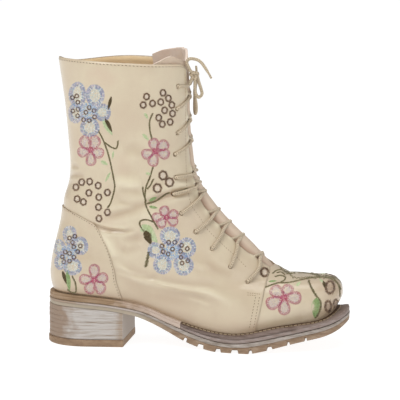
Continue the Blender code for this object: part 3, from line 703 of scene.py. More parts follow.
def front_edge(level, side):
    """Turn of the quarter's front edge: the lap seam, then the throat."""
    if level < THROAT_LEVEL:
        return edge_turn(level, side, vamp_line)
    return abs(turn_at(level, side * throat_half(level)))


# %% Lace rows, tongue crown and facings
LaceRow = namedtuple("LaceRow", "level girth edge_level")
LACING = (
    LaceRow(5.10, 55.0, 6.45),
    LaceRow(6.26, 51.0, 7.35),
    LaceRow(7.21, 46.5, 7.95),
    LaceRow(7.97, 45.0, 8.50),
    LaceRow(8.77, 43.0, 9.30),
    LaceRow(9.55, 40.0, 9.68),
    LaceRow(10.17, 33.0, 10.16),
    LaceRow(11.10, 30.0, 11.35),
    LaceRow(11.84, 26.0, 12.10),
    LaceRow(12.70, 26.0, 12.95),
    LaceRow(13.48, 25.0, 13.43),
)
CrownRow = namedtuple("CrownRow", "level height")
TONGUE_CROWN = (
    CrownRow(6.0, 0.0),
    CrownRow(7.0, 2.2),
    CrownRow(8.5, 2.6),
    CrownRow(9.5, 2.0),
    CrownRow(10.5, 0.5),
    CrownRow(11.5, 0.0),
    CrownRow(14.0, 0.0),
)
SHAFT_LEVEL = 10.0
PADDING, TONGUE_BULGE, THROAT_FILL = 1.1, 1.4, 1.6
DIVE = 0.24
FACING_LIFT, LIFT_REACH = 1.2, 3.2
CORNER, CORNER_REACH, CORNER_LEVELS = 0.19, 16.0, 1.4
SKIRT = 7.5


def tongue_crown(level):
    """How far foot and padding push the tongue's middle up between the facings."""
    pushed = smooth(level, *zip(*TONGUE_CROWN)) * (1 + PADDING * ramp(level, SHAFT_LEVEL, SHAFT_LEVEL - 1))
    filled = TONGUE_BULGE + THROAT_FILL * ramp(level, SHAFT_LEVEL, SHAFT_LEVEL + 1)
    return float(pushed + filled * ramp(level, THROAT_LEVEL, THROAT_LEVEL + 1))


def facing_moves(points):
    """The facings' edges lift where the lace dives under them."""
    moved = np.zeros(len(points))
    for row in LACING[:-1]:
        for side in BOTH_SIDES:
            place = girth_point(row.edge_level + DIVE, side * throat_half(row.edge_level), 0.0)
            moved += FACING_LIFT * bell(np.linalg.norm(points - place, axis=1), LIFT_REACH)
    return moved


def corner_drop(levels, turns):
    """Levels by which the collar's front corners are rounded off."""
    length = [run_along(surface(level, row))[-1] for level, row in zip(levels, turns)]
    count = turns.shape[1]
    column = np.minimum(np.arange(count), np.arange(count)[::-1])
    distance = np.outer(length, column / (count - 1))
    near_top = ramp(levels, COLLAR_LEVEL - CORNER_LEVELS, COLLAR_LEVEL)[:, None]
    return CORNER * ramp(distance, CORNER_REACH, 0.0) ** 2 * near_top**2


def with_skirt(points, columns):
    """Adds a row below the first one, so that the leather reaches down behind the welt."""
    points = points.reshape(-1, columns, 3)
    return np.concatenate((points[:1] - (0.0, 0.0, SKIRT), points)).reshape(-1, 3)


# %% The quarters
QUARTER_THICKNESS, LINING_THICKNESS, VAMP_THICKNESS = 1.3, 0.6, 1.1
QUARTER_PITCH, QUARTER_COLUMNS = 2.0, 250
COLLAR_ROLL, ROLL_HEIGHT = 0.6, 1.6
BACK_SEAM_DEPTH, BACK_SEAM_WIDTH = 0.5, 1.3
# Amounts of painted shade and painted highlight on the quarters and the toe piece.
WELT_SHADE, NEAR_LEVELS = 0.4, 0.75
LOW_SHADE, LOW_LEVELS = 0.34, 2.4
FULL_SHADE_DEPTH, BRIGHTEST_HIGHLIGHT, DARKEST_SHADE = 2.4, -0.5, 0.8
quarter_levels = even_levels(0, COLLAR_LEVEL, QUARTER_PITCH)
quarter_turns = turns_behind(quarter_levels, front_edge, QUARTER_COLUMNS)
quarter_rows = quarter_levels[:, None] + collar_shift(quarter_levels[:, None], quarter_turns)
quarter_rows -= corner_drop(quarter_levels, quarter_turns)
quarter_base = surface(quarter_rows, quarter_turns)
heights = quarter_base[..., 2]
back_seam = np.linalg.norm(quarter_base - surface(quarter_levels, math.pi)[:, None], axis=2)
flat_base = quarter_base.reshape(-1, 3)
quarter_moves = (crease_offsets(flat_base) + facing_moves(flat_base)).reshape(quarter_turns.shape)
quarter_moves -= COLLAR_ROLL * bell(heights[-1] - heights, ROLL_HEIGHT)
quarter_moves -= BACK_SEAM_DEPTH * bell(back_seam, BACK_SEAM_WIDTH)
quarter_points = last(quarter_rows, quarter_turns, quarter_moves).reshape(-1, 3)
quarter_faces = grid_faces(len(quarter_levels) + 1, QUARTER_COLUMNS)
skirted = with_skirt(quarter_points, QUARTER_COLUMNS)
quarters = piece("quarters", skirted, quarter_faces, cream_leather, "cream_leather")
# Painted shade near the welt, low on the quarters and in the creases' troughs; painted highlight on the
# ridges.
quarter_shading = WELT_SHADE * bell(quarter_rows, NEAR_LEVELS) + LOW_SHADE * bell(quarter_rows, LOW_LEVELS)
quarter_shading += np.clip(-quarter_moves / FULL_SHADE_DEPTH, BRIGHTEST_HIGHLIGHT, DARKEST_SHADE)
painted_shade_and_tone(quarters, np.concatenate((quarter_shading[:1], quarter_shading)))
thicken(quarters, QUARTER_THICKNESS, raw_edge)
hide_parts("upper")
print("quarters:", len(quarter_points), "points before thickening")

# %% The toe piece, tucked under the lap
VAMP_PITCH, VAMP_COLUMNS = 1.8, 150
VAMP_STEP = 0.8
TUCK, TUCK_COLUMNS, TUCK_GAP = 9.0, 8, 0.1
SMALL_TURN = 0.01
# Painted shade towards the toe's tip, which turns away from the light.
TIP_SHADE, TIP_START_X, TIP_END_X, TIP_POWER = 0.5, 106.0, 134.0, 1.5
vamp_levels = even_levels(0, THROAT_LEVEL, VAMP_PITCH)
vamp_turns, vamp_offsets = [], []
for level in vamp_levels:
    ends = []
    for side in BOTH_SIDES:
        edge = edge_turn(level, side, vamp_line)
        step = surface(level, side * edge) - surface(level, side * (edge + SMALL_TURN))
        tuck_turn = TUCK / np.linalg.norm(step) * SMALL_TURN
        ends.append((edge, np.linspace(0.0, tuck_turn, TUCK_COLUMNS)[1:]))
    (outer, outer_tuck), (inner, inner_tuck) = ends
    middle = even_turns(level, -outer, inner, VAMP_COLUMNS)
    vamp_turns.append(np.concatenate((-(outer + outer_tuck[::-1]), middle, inner + inner_tuck)))
    low = np.full(TUCK_COLUMNS - 1, -QUARTER_THICKNESS - TUCK_GAP)
    vamp_offsets.append(np.concatenate((low, np.full(VAMP_COLUMNS, -VAMP_STEP), low)))
vamp_turns, vamp_offsets = np.array(vamp_turns), np.array(vamp_offsets)
vamp_base = surface(vamp_levels[:, None], vamp_turns).reshape(-1, 3)
vamp_offsets += crease_offsets(vamp_base).reshape(vamp_turns.shape)
vamp_points = last(vamp_levels[:, None], vamp_turns, vamp_offsets).reshape(-1, 3)
vamp_faces = grid_faces(len(vamp_levels) + 1, vamp_turns.shape[1])
skirted = with_skirt(vamp_points, vamp_turns.shape[1])
vamp = piece("toe_piece", skirted, vamp_faces, cream_leather, "cream_leather")
# Painted shade near the welt, and growing towards the toe's tip.
to_tip = ramp(vamp_base[:, 0].reshape(vamp_turns.shape), TIP_START_X, TIP_END_X)
vamp_shading = WELT_SHADE * bell(vamp_levels[:, None], NEAR_LEVELS) + TIP_SHADE * to_tip**TIP_POWER
painted_shade_and_tone(vamp, np.concatenate((vamp_shading[:1], vamp_shading)))
thicken(vamp, VAMP_THICKNESS, raw_edge)
print("toe piece:", len(vamp_points), "points before thickening")

# %% The lining
LINING_LOW, LINING_HIGH = 0.3, COLLAR_LEVEL - 0.03
LINING_PITCH, LINING_COLUMNS = 4.0, 110
LAP_ALLOWANCE = 0.12
LINING_GAP = 0.08


def lining_edge(level, side):
    """The lining ends at the throat, and a little behind the lap seam below it."""
    return front_edge(level, side) + (LAP_ALLOWANCE if level < THROAT_LEVEL else 0.0)


lining_levels = even_levels(LINING_LOW, LINING_HIGH, LINING_PITCH)
lining_turns = turns_behind(lining_levels, lining_edge, LINING_COLUMNS)
lining_rows = lining_levels[:, None] + collar_shift(lining_levels[:, None], lining_turns)
lining_rows -= corner_drop(lining_levels, lining_turns)
lining_base = surface(lining_rows, lining_turns).reshape(-1, 3)
lining_moves = (crease_offsets(lining_base) + facing_moves(lining_base)).reshape(lining_turns.shape)
lining_moves -= QUARTER_THICKNESS + LINING_GAP
lining_points = last(lining_rows, lining_turns, lining_moves).reshape(-1, 3)
lining_faces = grid_faces(len(lining_levels), LINING_COLUMNS)
lining = piece("shaft_lining", lining_points, lining_faces, lining_leather, "cream_leather")
thicken(lining, LINING_THICKNESS, lining_leather)
print("lining:", len(lining_points), "points before thickening")

# %% [markdown]
# ## Counter and tongue
# The counter is a stiff heel piece sewn on the outside. It is the same surface a leather's thickness further
# out, bounded by the curve of its edge, with that edge thinned by skiving. The tongue lies inside the throat,
# padded and crowned between the facings, with low valleys along them that are darkened with painted shade.
# It fans out at its free top, which leans back a little and ripples.

# %% The counter
COUNTER_OUT, SKIVE, SKIVE_WIDTH = 1.2, 0.3, 1.5
COUNTER_LOW, COUNTER_TOP = 0.12, 8.12
COUNTER_PITCH, COUNTER_COLUMNS = 1.6, 150
# The counter's own slightly darker tone, and painted shade at its foot near the welt.
COUNTER_TONE, COUNTER_FOOT_SHADE, COUNTER_FOOT = 0.18, 0.7, 0.9
COUNTER_GAP = 0.05


def counter_front(level, side):
    """Turn of the counter's front edge."""
    return edge_turn(level, side, counter_line)


counter_levels = even_levels(COUNTER_LOW, COUNTER_TOP, COUNTER_PITCH)
counter_turns = turns_behind(counter_levels, counter_front, COUNTER_COLUMNS)
counter_base = surface(counter_levels[:, None], counter_turns).reshape(-1, 3)
edge_lines = np.concatenate([surface(counter_levels, counter_turns[:, k]) for k in (0, -1)])
from_edge = np.linalg.norm(counter_base[:, None] - edge_lines[None], axis=2).min(axis=1)
skived = (COUNTER_OUT - SKIVE * bell(from_edge, SKIVE_WIDTH)).reshape(counter_turns.shape)
counter_points = last(counter_levels[:, None], counter_turns, skived).reshape(-1, 3)
counter_faces = grid_faces(len(counter_levels), COUNTER_COLUMNS)
counter = piece("counter", counter_points, counter_faces, cream_leather, "cream_leather")
# An even darker tone of the counter's own, with painted shade at its foot near the welt.
counter_tone_and_shade = COUNTER_TONE + COUNTER_FOOT_SHADE * bell(counter_levels, COUNTER_FOOT)
painted_shade_and_tone(counter, np.repeat(counter_tone_and_shade, COUNTER_COLUMNS))
thicken(counter, COUNTER_OUT - SKIVE - COUNTER_GAP, raw_edge)
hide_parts("heel_counter")
print("counter:", len(counter_points), "points before thickening")

# %% The tongue
WALL = 2.0
TONGUE_THICKNESS, TONGUE_LEAN = 2.2, 0.8
TONGUE_PITCH, TONGUE_COLUMNS, TOP_ROWS = 2.2, 130, 10
RIPPLE, RIPPLES_UP, RIPPLES_ROUND = 0.25, 5.0, 2.5
# Painted shade in the valleys along the facings.
VALLEY_SHADE, VALLEY_START, VALLEY_END, VALLEY_TOP = 1.3, 0.5, 0.9, 0.7
TopRow = namedtuple("TopRow", "turn level")
TONGUE_TOP = (
    TopRow(-1.01, 14.24),
    TopRow(-0.74, 14.49),
    TopRow(-0.59, 14.58),
    TopRow(-0.46, 14.49),
    TopRow(-0.26, 14.40),
    TopRow(-0.08, 14.33),
    TopRow(0.06, 14.74),
    TopRow(0.25, 14.77),
    TopRow(0.59, 14.68),
    TopRow(0.79, 14.59),
    TopRow(0.96, 14.50),
    TopRow(1.23, 14.24),
)
TONGUE_SHARES = (
    (5.0, 0.11), (7.5, 0.11), (8.5, 0.16), (10.5, 0.17), (11.5, 0.22), (12.6, 0.24), (13.7, 0.33),
    (15.0, 0.33),
)
low_levels = even_levels(THROAT_LEVEL - 1, COLLAR_LEVEL, TONGUE_PITCH)
tongue_levels = np.concatenate((low_levels, np.full(TOP_ROWS, COLLAR_LEVEL)))
top_shares = np.concatenate((np.zeros(len(low_levels)), np.linspace(1 / TOP_ROWS, 1.0, TOP_ROWS)))
tongue_rows, tongue_shading = [], []
for level, share in zip(tongue_levels, top_shares):
    edge = abs(turn_at(level, throat_half(level)))
    reach = edge + (math.pi - edge) * smooth(level, *zip(*TONGUE_SHARES))
    turns = np.linspace(-reach, reach, TONGUE_COLUMNS)
    rise = share * (np.interp(turns, *zip(*TONGUE_TOP)) - COLLAR_LEVEL)
    across = np.minimum(np.abs(turns) / edge, 1.0)
    ripple = RIPPLE * np.sin(level * RIPPLES_UP + RIPPLES_ROUND * turns)
    free = ramp(level, COLLAR_LEVEL - 1, COLLAR_LEVEL)
    offset = tongue_crown(level) * (1 - across**2) - WALL - GAP + free * (ripple - TONGUE_LEAN)
    tongue_rows.append(last(level + rise, turns, offset))
    # Painted shade in the valleys along the facings, below the free top.
    valley = VALLEY_SHADE * ramp(across, VALLEY_START, VALLEY_END)
    tongue_shading.append(valley * (level < COLLAR_LEVEL - VALLEY_TOP))
tongue_points = np.concatenate(tongue_rows)
tongue_faces = grid_faces(len(tongue_levels), TONGUE_COLUMNS)
tongue = piece("tongue_sheet", tongue_points, tongue_faces, tongue_leather, "tongue_leather")
painted_shade_and_tone(tongue, tongue_shading)
thicken(tongue, TONGUE_THICKNESS, flesh_side)
tongue.modifiers["thickness"].material_offset = 1
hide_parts("tongue")
print("tongue:", len(tongue_points), "points before thickening")
frame["nodes"]["insole"].data.materials.clear()
frame["nodes"]["insole"].data.materials.append(lining_leather)

# %% [markdown]
# ## The sole
# The outsole is moulded brown rubber with notches between its lugs, and a paler bead runs round its top edge.
# A storm welt of waxed grey-brown leather is sewn round the forefoot, with a groove along the upper for the
# stitches, and a pale rand takes its place from the waist to the heel. Outline and heights follow the frame,
# and round the toe the welt drops a little, as the upper bulges over it.

# %% Sole materials
STREAK = 1.1
BLOTCH, BLOTCH_START, BLOTCH_END = 9.0, 0.85, 1.25
RUBBED = 0.1
Patch = namedtuple("Patch", "start_x end_x tone share")


def brushed(name, tones, roughness, run, rise, depth, patches=()):
    """Leather board or rubber with paint brushed along its layers; run and rise are the streaks' sizes.
    A patch blends to another tone between two places along the boot, broken up by a coarse noise."""
    made, tree, shader = new_material(name, ior=1.5)
    place = add_node(tree, "TexCoord").outputs["Object"]
    stretch = (1 / (run * MM), 1 / (run * MM), 1 / (rise * MM))
    streaks = add_node(tree, "Mapping", {"Vector": place, "Scale": stretch}).outputs[0]
    inputs = {"Vector": streaks, "Scale": 1.0, "Detail": 7.0, "Roughness": 0.62}
    streak = add_node(tree, "TexNoise", inputs).outputs["Fac"]
    tone = add_node(tree, "ValToRGB", {"Fac": streak})
    set_stops(tone, tones)
    paint = tone.outputs["Color"]
    along = add_node(tree, "SeparateXYZ", {0: place}).outputs["X"]
    blotch = add_node(tree, "TexNoise", {"Vector": place, "Scale": 1 / (BLOTCH * MM), "Detail": 5.0})
    for patch in patches:
        reach = add_node(tree, "MapRange", {0: along, 1: patch.start_x * MM, 2: patch.end_x * MM})
        inputs = {0: reach.outputs[0], 1: blotch.outputs["Fac"]}
        cover = add_node(tree, "Math", inputs, operation="ADD")
        inputs = {0: cover.outputs[0], 1: BLOTCH_START, 2: BLOTCH_END, 4: patch.share}
        fade = add_node(tree, "MapRange", inputs)
        inputs = {"Factor": fade.outputs[0], 6: paint, 7: colour(patch.tone)}
        paint = add_node(tree, "Mix", inputs, data_type="RGBA").outputs[2]
    bump = add_node(tree, "Bump", {"Height": streak, "Strength": 0.6, "Distance": depth * MM})
    inputs = {0: streak, 1: NOISE_LOW, 2: NOISE_HIGH, 3: roughness - RUBBED, 4: roughness + RUBBED}
    shine = add_node(tree, "MapRange", inputs)
    link(tree, shader, base_color=paint, normal=bump.outputs[0], roughness=shine.outputs[0])
    return made


STACK_TONES = ((0.28, "#94826F"), (0.39, "#AEA297"), (0.49, "#C0B9B3"), (0.62, "#CAC4BF"), (0.76, "#ACA197"))
RAND_TONES = ((0.30, "#866A4D"), (0.48, "#997D5F"), (0.60, "#A78D72"), (0.75, "#8F7256"))
LIFT_TONES = ((0.30, "#7C634C"), (0.50, "#957A60"), (0.62, "#A2886E"), (0.78, "#866C54"))
WELT_TONES = ((0.30, "#57463D"), (0.48, "#6F5D54"), (0.62, "#84736B"), (0.78, "#65534A"))
RUBBER_TONES = ((0.30, "#7D644C"), (0.50, "#967C64"), (0.62, "#A8917B"), (0.78, "#8A6E56"))
BEAD_TONES = ((0.30, "#807367"), (0.48, "#A1968C"), (0.62, "#B9AFA7"), (0.78, "#908075"))
STACK_PATCHES = (
    Patch(-98, -132, "#937A64", 0.85), Patch(-80, -66, "#94744F", 0.5), Patch(-67.6, -66.8, "#B0A69E", 0.9),
)
RAND_PATCHES = (Patch(-100, -25, "#CDBAAC", 0.85),)
WELT_PATCHES = (Patch(84, 116, "#94837A", 0.6),)
RUBBER_PATCHES = (Patch(-8, -60, "#B5A996", 0.85),)
BEAD_PATCHES = (Patch(-40, -70, "#BFB2AA", 0.7), Patch(-84, -120, "#A28C78", 0.9))
stacked_leather = brushed("whitewashed_stacked_leather", STACK_TONES, 0.7, 22.0, STREAK, 0.5, STACK_PATCHES)
rand_leather = brushed("waxed_rand_leather", RAND_TONES, 0.55, 30.0, 3.0, 0.2, RAND_PATCHES)
welt_leather = brushed("waxed_welt_leather", WELT_TONES, 0.55, 14.0, 2.0, 0.3, WELT_PATCHES)
brown_rubber = brushed("moulded_brown_rubber", RUBBER_TONES, 0.7, 9.0, 4.0, 0.3)
lift_rubber = brushed("top_lift_rubber", LIFT_TONES, 0.7, 9.0, 4.0, 0.3)
limed_rubber = brushed("limed_brown_rubber", RUBBER_TONES, 0.7, 12.0, 3.0, 0.3, RUBBER_PATCHES)
MIDSOLE_TONES = ((0.30, "#7D6A60"), (0.48, "#93827A"), (0.62, "#A39690"), (0.78, "#87756B"))
midsole_leather = brushed("limed_midsole_leather", MIDSOLE_TONES, 0.6, 14.0, 2.0, 0.3)
pale_bead = brushed("limed_rubber_edge", BEAD_TONES, 0.65, 12.0, 2.0, 0.3, BEAD_PATCHES)


# %% Outlines of the sole
EDGE_STEPS, FEATHER_STEPS = 4000, 1500
TOE_DROP, RIM_DROP = 4.6, 0.65
DROP_START_X, DROP_END_X = 66.0, 132.0


def plan_side(plan, x, side):
    """Half-width of a plan at x on one side, without the swing."""
    length = plan.front_x - plan.back_x
    fraction = np.clip((np.asarray(x, float) - plan.back_x) / length, 0, 1)
    tables = np.broadcast_to(plan.lateral if side == LATERAL else plan.medial, fraction.shape + (4,))
    return half_width(np.array(tables, float), fraction, length, plan.back_round, plan.front_round)


def outline(plan, turns):
    """Plan view of the sole's edge at arrays of turns."""
    x = plan.back_x + (plan.front_x - plan.back_x) * (1 + np.cos(turns)) / 2
    y = np.where(np.sin(turns) >= 0, plan_side(plan, x, MEDIAL), -plan_side(plan, x, LATERAL))
    return np.column_stack((x, y + swing(x)))


def edge_path(plan, start, end, spacing):
    """Points along the edge at even distances, with the directions into the sole."""
    places = even_places(outline(plan, np.linspace(start, end, EDGE_STEPS)), spacing)
    ahead = unit(np.gradient(places, axis=0))
    return places, np.column_stack((-ahead[:, 1], ahead[:, 0]))


def plan_turn(plan, x):
    """Turn of a place x along the sole."""
    return math.acos(2 * (x - plan.back_x) / (plan.front_x - plan.back_x) - 1)


def toe_drop(x):
    """The welt's inner edge lies lower round the toe, where the upper bulges over it."""
    return TOE_DROP * ease(x, DROP_START_X, DROP_END_X)


feather_line = surface(0.0, np.linspace(-math.pi, math.pi, FEATHER_STEPS))[:, :2]


def ledge_width(path):
    """Distance from the sole's edge to the feather line, at each point of a path."""
    return np.linalg.norm(path[:, None] - feather_line[None], axis=2).min(axis=1)


# %% Strips round the sole
def sweep(name, path, inward, profile, low, high, material, slot, closed=False):
    """Strip along the sole's edge; a profile point is an inset, a share of the ledge and a height share."""
    ledge = ledge_width(path)
    bottom, top = sole_height(path[:, 0], low), sole_height(path[:, 0], high)
    rings = []
    for inset, share, height in profile:
        places = path + inward * (inset + share * ledge)[:, None]
        sunk = toe_drop(path[:, 0]) * (RIM_DROP + (1 - RIM_DROP) * share) * (height > 0.5) * (low == "seam")
        rings.append(np.column_stack((places, bottom + (top - bottom) * height - sunk)))
    points = np.stack(rings, axis=1)
    count, width = points.shape[:2]
    faces = ring_faces(count, width, closed)
    if not closed:
        end = list(range(width))
        faces += [end, [k + (count - 1) * width for k in reversed(end)]]
    return piece(name, points.reshape(-1, 3), faces, material, slot, 50.0)


WELT_START_X = -13.0
STRIP_PITCH = 1.5
MIDSOLE_PROFILE = (
    (1.2, 0, 0.03), (0.4, 0, 0.07), (0.1, 0, 0.14), (0.05, 0, 0.33), (0.3, 0, 0.40), (0.9, 0, 0.44),
    (9.0, 0, 0.44), (9.0, 0, 0.03),
)
WELT_PROFILE = (
    (1.0, 0, 0.45), (0.45, 0, 0.48), (0.25, 0, 0.54), (0.3, 0, 0.66), (0.7, 0, 0.72), (1.5, 0, 0.76),
    (-3.6, 1, 0.86), (-3.1, 1, 0.87), (-2.6, 1, 0.8), (4.0, 1, 0.76), (7.0, 1, 0.74), (7.0, 1, 0.45),
)
GROOVE_PROFILE = ((-3.4, 1, 0.74), (-3.0, 1, 0.87), (-1.6, 1, 0.91), (0.8, 1, 0.99), (0.8, 1, 0.74))
RAND_PROFILE = (
    (0.7, 0, 0.05), (0.2, 0, 0.12), (0.0, 0, 0.3), (0.0, 0, 0.62), (0.5, 0, 0.68), (0.2, 0, 0.74),
    (0.3, 0, 0.9), (0.9, 0, 0.98), (5.0, 0, 0.98), (9.0, 0, 0.9), (9.0, 0, 0.05),
)
BEAD_PROFILE = (
    (0.9, 0, 0.62), (-0.1, 0, 0.66), (-0.35, 0, 0.76), (-0.3, 0, 0.92), (0.1, 0, 0.985), (3.0, 0, 0.985),
    (3.0, 0, 0.64),
)
welt_turn, rand_turn = plan_turn(SOLE_PLAN, WELT_START_X), plan_turn(SOLE_PLAN, WELT_START_X - GAP)
welt_path = edge_path(SOLE_PLAN, -welt_turn, welt_turn, STRIP_PITCH)
rand_path = edge_path(SOLE_PLAN, rand_turn, FULL_TURN - rand_turn, STRIP_PITCH)
bead_path = [part[:-1] for part in edge_path(SOLE_PLAN, -math.pi, math.pi, STRIP_PITCH)]
# A dark brown strip lines the groove along the upper, where the welt stitches run.
GROOVE_TONES = ((0.3, "#4A3624"), (0.6, "#5C4430"), (0.8, "#6B513A"))
dark_groove = brushed("dark_welt_groove", GROOVE_TONES, 0.6, 14.0, 2.0, 0.2)
HEIGHTS = ("seam", "feather")
welt = sweep("storm_welt", *welt_path, WELT_PROFILE, *HEIGHTS, welt_leather, "welt_leather")
rand = sweep("heel_rand", *rand_path, RAND_PROFILE, *HEIGHTS, rand_leather, "whitewashed_leather")
bead = sweep("outsole_bead", *bead_path, BEAD_PROFILE, "tread", "seam", pale_bead, "brown_rubber", True)
sweep("midsole", *welt_path, MIDSOLE_PROFILE, *HEIGHTS, midsole_leather, "welt_leather")
sweep("welt_groove", *welt_path, GROOVE_PROFILE, *HEIGHTS, dark_groove, "welt_leather")
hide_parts("welt")
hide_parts("seat_rand")
print("welt", len(welt.data.vertices), "rand", len(rand.data.vertices), "bead", len(bead.data.vertices))

# %% The outsole and its lugs
Notch = namedtuple("Notch", "x width")
NOTCHES = (
    Notch(-9.3, 2.5),
    Notch(5.6, 5.0),
    Notch(22.5, 4.5),
    Notch(38.1, 6.0),
    Notch(52.7, 3.0),
    Notch(70.1, 4.6),
    Notch(87.0, 2.4),
    Notch(102.5, 2.0),
)
LUG_DEPTH, LUG_REACH = 4.2, 15.0
BEYOND_EDGE, MIDDLE_NOTCH = 10.0, 3.0
NARROWEST = 0.3
SLOPE_REACH = 2.0
WEDGE_SECTION = ((-0.75, -3.0), (0.75, -3.0), (0.4, LUG_DEPTH), (-0.4, LUG_DEPTH))
WEDGE_FACES = ((0, 1, 2, 3), (7, 6, 5, 4), (0, 4, 5, 1), (1, 5, 6, 2), (2, 6, 7, 3), (3, 7, 4, 0))
OUTSOLE_EDGE = ((0.0, 1.3), (0.03, 0.95), (0.58, 0.6), (0.62, 0.9), (1.0, 0.9))
OUTSOLE_STATIONS = 170
TIP = 0.2


def stitched_rings(rings):
    """Faces through closed rings whose second half runs back beside the first, with both ends closed."""
    rows, count = len(rings), len(rings[0])
    faces = ring_faces(rows, count)
    half = np.arange(count // 2 - 1)
    for first in (0, (rows - 1) * count):
        near, far = first + half, first + count - 1 - half
        faces += np.column_stack((near, near + 1, far - 1, far)).tolist()
    return faces


def outsole_ring(x):
    """Section of the outsole at one place along it."""
    low, high = float(sole_height(x, "tread")), float(sole_height(x, "seam"))
    points = []
    for side, steps in ((LATERAL, OUTSOLE_EDGE), (MEDIAL, OUTSOLE_EDGE[::-1])):
        half = float(plan_side(SOLE_PLAN, np.array(x), side))
        for height, inset in steps:
            y = side * max(half - inset, NARROWEST * half) + float(swing(x))
            points.append((x, y, low + (high - low) * height))
    return points


def wedge(x, width, inner, outer):
    """Corners of one notch in the tread, square to its slope."""
    rise = float(sole_height(x + SLOPE_REACH, "tread") - sole_height(x - SLOPE_REACH, "tread"))
    slope = math.atan2(rise, 2 * SLOPE_REACH)
    base = float(sole_height(x, "tread"))
    corners = []
    for y in (inner, outer):
        for across, up in WEDGE_SECTION:
            run = across * width
            corners.append((
                x + run * math.cos(slope) - up * math.sin(slope),
                y,
                base + run * math.sin(slope) + up * math.cos(slope),
            ))
    return corners


first_x, last_x = SOLE_PLAN.back_x + TIP, SOLE_PLAN.front_x - TIP
outsole_x = first_x + (last_x - first_x) * (1 - np.cos(np.linspace(0, math.pi, OUTSOLE_STATIONS))) / 2
outsole_rings = [outsole_ring(x) for x in outsole_x]
outsole_mesh = (np.concatenate(outsole_rings), stitched_rings(outsole_rings))
outsole = piece("lugged_outsole", *outsole_mesh, limed_rubber, "brown_rubber", 30.0)
wedges = []
for notch in NOTCHES:
    for side in BOTH_SIDES:
        edge = side * float(plan_side(SOLE_PLAN, np.array(notch.x), side)) + float(swing(notch.x))
        wedges.append(wedge(notch.x, notch.width, edge - side * LUG_REACH, edge + side * BEYOND_EDGE))
for one, other in zip(NOTCHES[:-1], NOTCHES[1:]):
    x = (one.x + other.x) / 2
    wedges.append(wedge(x, MIDDLE_NOTCH, float(swing(x)) - LUG_REACH, float(swing(x)) + LUG_REACH))


def cut(thing, cutter):
    """Takes a closed cutter out of a piece, and removes the cutter."""
    gap = thing.modifiers.new("cut", "BOOLEAN")
    gap.operation = "DIFFERENCE"
    gap.object = cutter
    bake_modifiers(thing)
    bpy.data.objects.remove(cutter)
    return thing


lug_wedges = joined([(corners, WEDGE_FACES) for corners in wedges])
cut(outsole, piece("lug_wedges", *lug_wedges, brown_rubber, "brown_rubber"))
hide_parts("outsole")
print("outsole:", len(outsole.data.polygons), "faces with", len(wedges), "notches")

# %% [markdown]
# ## The stacked heel
# The heel is a stack of leather lifts on a rubber top lift. Its edge was limed white and rubbed back, so each
# layer catches the paint differently. Every lift gets its own small setback and a groove at its joint, and
# the brushed material streaks along the layers.

# %% Heel rings
HEEL_BREAST_X = -65.0
HEEL_BREAST_SLANT = math.radians(3.5)
TOP_LIFT_THICKNESS = 6.5
HEEL_LAYERS = 7
HEEL_COLUMNS = 70
GROOVE, BREAST_GROOVE = 0.55, 0.12
UNEVEN_JOINT, MOST_SETBACK, ROUGH_EDGE, WORN_EDGE = 0.02, 0.25, 0.12, 0.2
LAYER_PROFILE = ((0.07, WORN_EDGE), (0.2, 0.0), (0.5, 0.0), (0.8, 0.0), (0.93, WORN_EDGE))
LIFT_PROFILE = ((0.0, 1.0), (0.06, 0.4), (0.16, 0.1), (0.3, 0.0), (0.86, 0.0), (0.95, 0.2), (1.0, 0.6))


def heel_ring(plan, height, inset, rough=0.0):
    """Closed ring round the heel: along the outer side to the back and returning on the inner side."""
    reach = 1 - np.sin(np.linspace(0, math.pi / 2, HEEL_COLUMNS))
    back = plan.back_x + TIP
    lines = []
    for side in BOTH_SIDES:
        half = plan_side(plan, back + (HEEL_BREAST_X - back) * reach, side)
        y = side * np.maximum(half - inset - rough * random.random(HEEL_COLUMNS), NARROWEST * half)
        breast = HEEL_BREAST_X - BREAST_GROOVE * inset + y * math.tan(HEEL_BREAST_SLANT)
        x = back + inset + (breast - back - inset) * reach
        lines.append(np.column_stack((x, y, height(x))))
    return np.concatenate((lines[0], lines[1][::-1]))


def stack_height(share):
    """Height function of a layer of the stack, from its foot at 0 to its top at 1."""
    foot = TOP_LIFT_THICKNESS + GAP
    return lambda x: foot + (sole_height(x, "tread") - GAP - foot) * share


joints = np.linspace(0, 1, HEEL_LAYERS + 1)
joints[1:-1] += random.uniform(-UNEVEN_JOINT, UNEVEN_JOINT, HEEL_LAYERS - 1)
heel_rings = [heel_ring(HEEL_PLAN, stack_height(0.0), GROOVE)]
for low, high in zip(joints[:-1], joints[1:]):
    setback = random.uniform(0.0, MOST_SETBACK)
    for share, worn in LAYER_PROFILE:
        height = stack_height(low + (high - low) * share)
        heel_rings.append(heel_ring(HEEL_PLAN, height, setback + worn, ROUGH_EDGE))
    heel_rings.append(heel_ring(HEEL_PLAN, stack_height(high), GROOVE))
lift_rings = [
    heel_ring(LIFT_PLAN, lambda x, share=share: np.full_like(x, TOP_LIFT_THICKNESS * share), inset)
    for share, inset in LIFT_PROFILE
]
heel_mesh = (np.concatenate(heel_rings), stitched_rings(heel_rings))
heel = piece("stacked_heel", *heel_mesh, stacked_leather, "whitewashed_leather", 55.0)
lift_mesh = (np.concatenate(lift_rings), stitched_rings(lift_rings))
lift = piece("rubber_top_lift", *lift_mesh, lift_rubber, "brown_rubber", 55.0)
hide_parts("heel_stack")
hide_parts("top_lift")
print("heel:", HEEL_LAYERS, "lifts,", len(heel.data.vertices), "points")

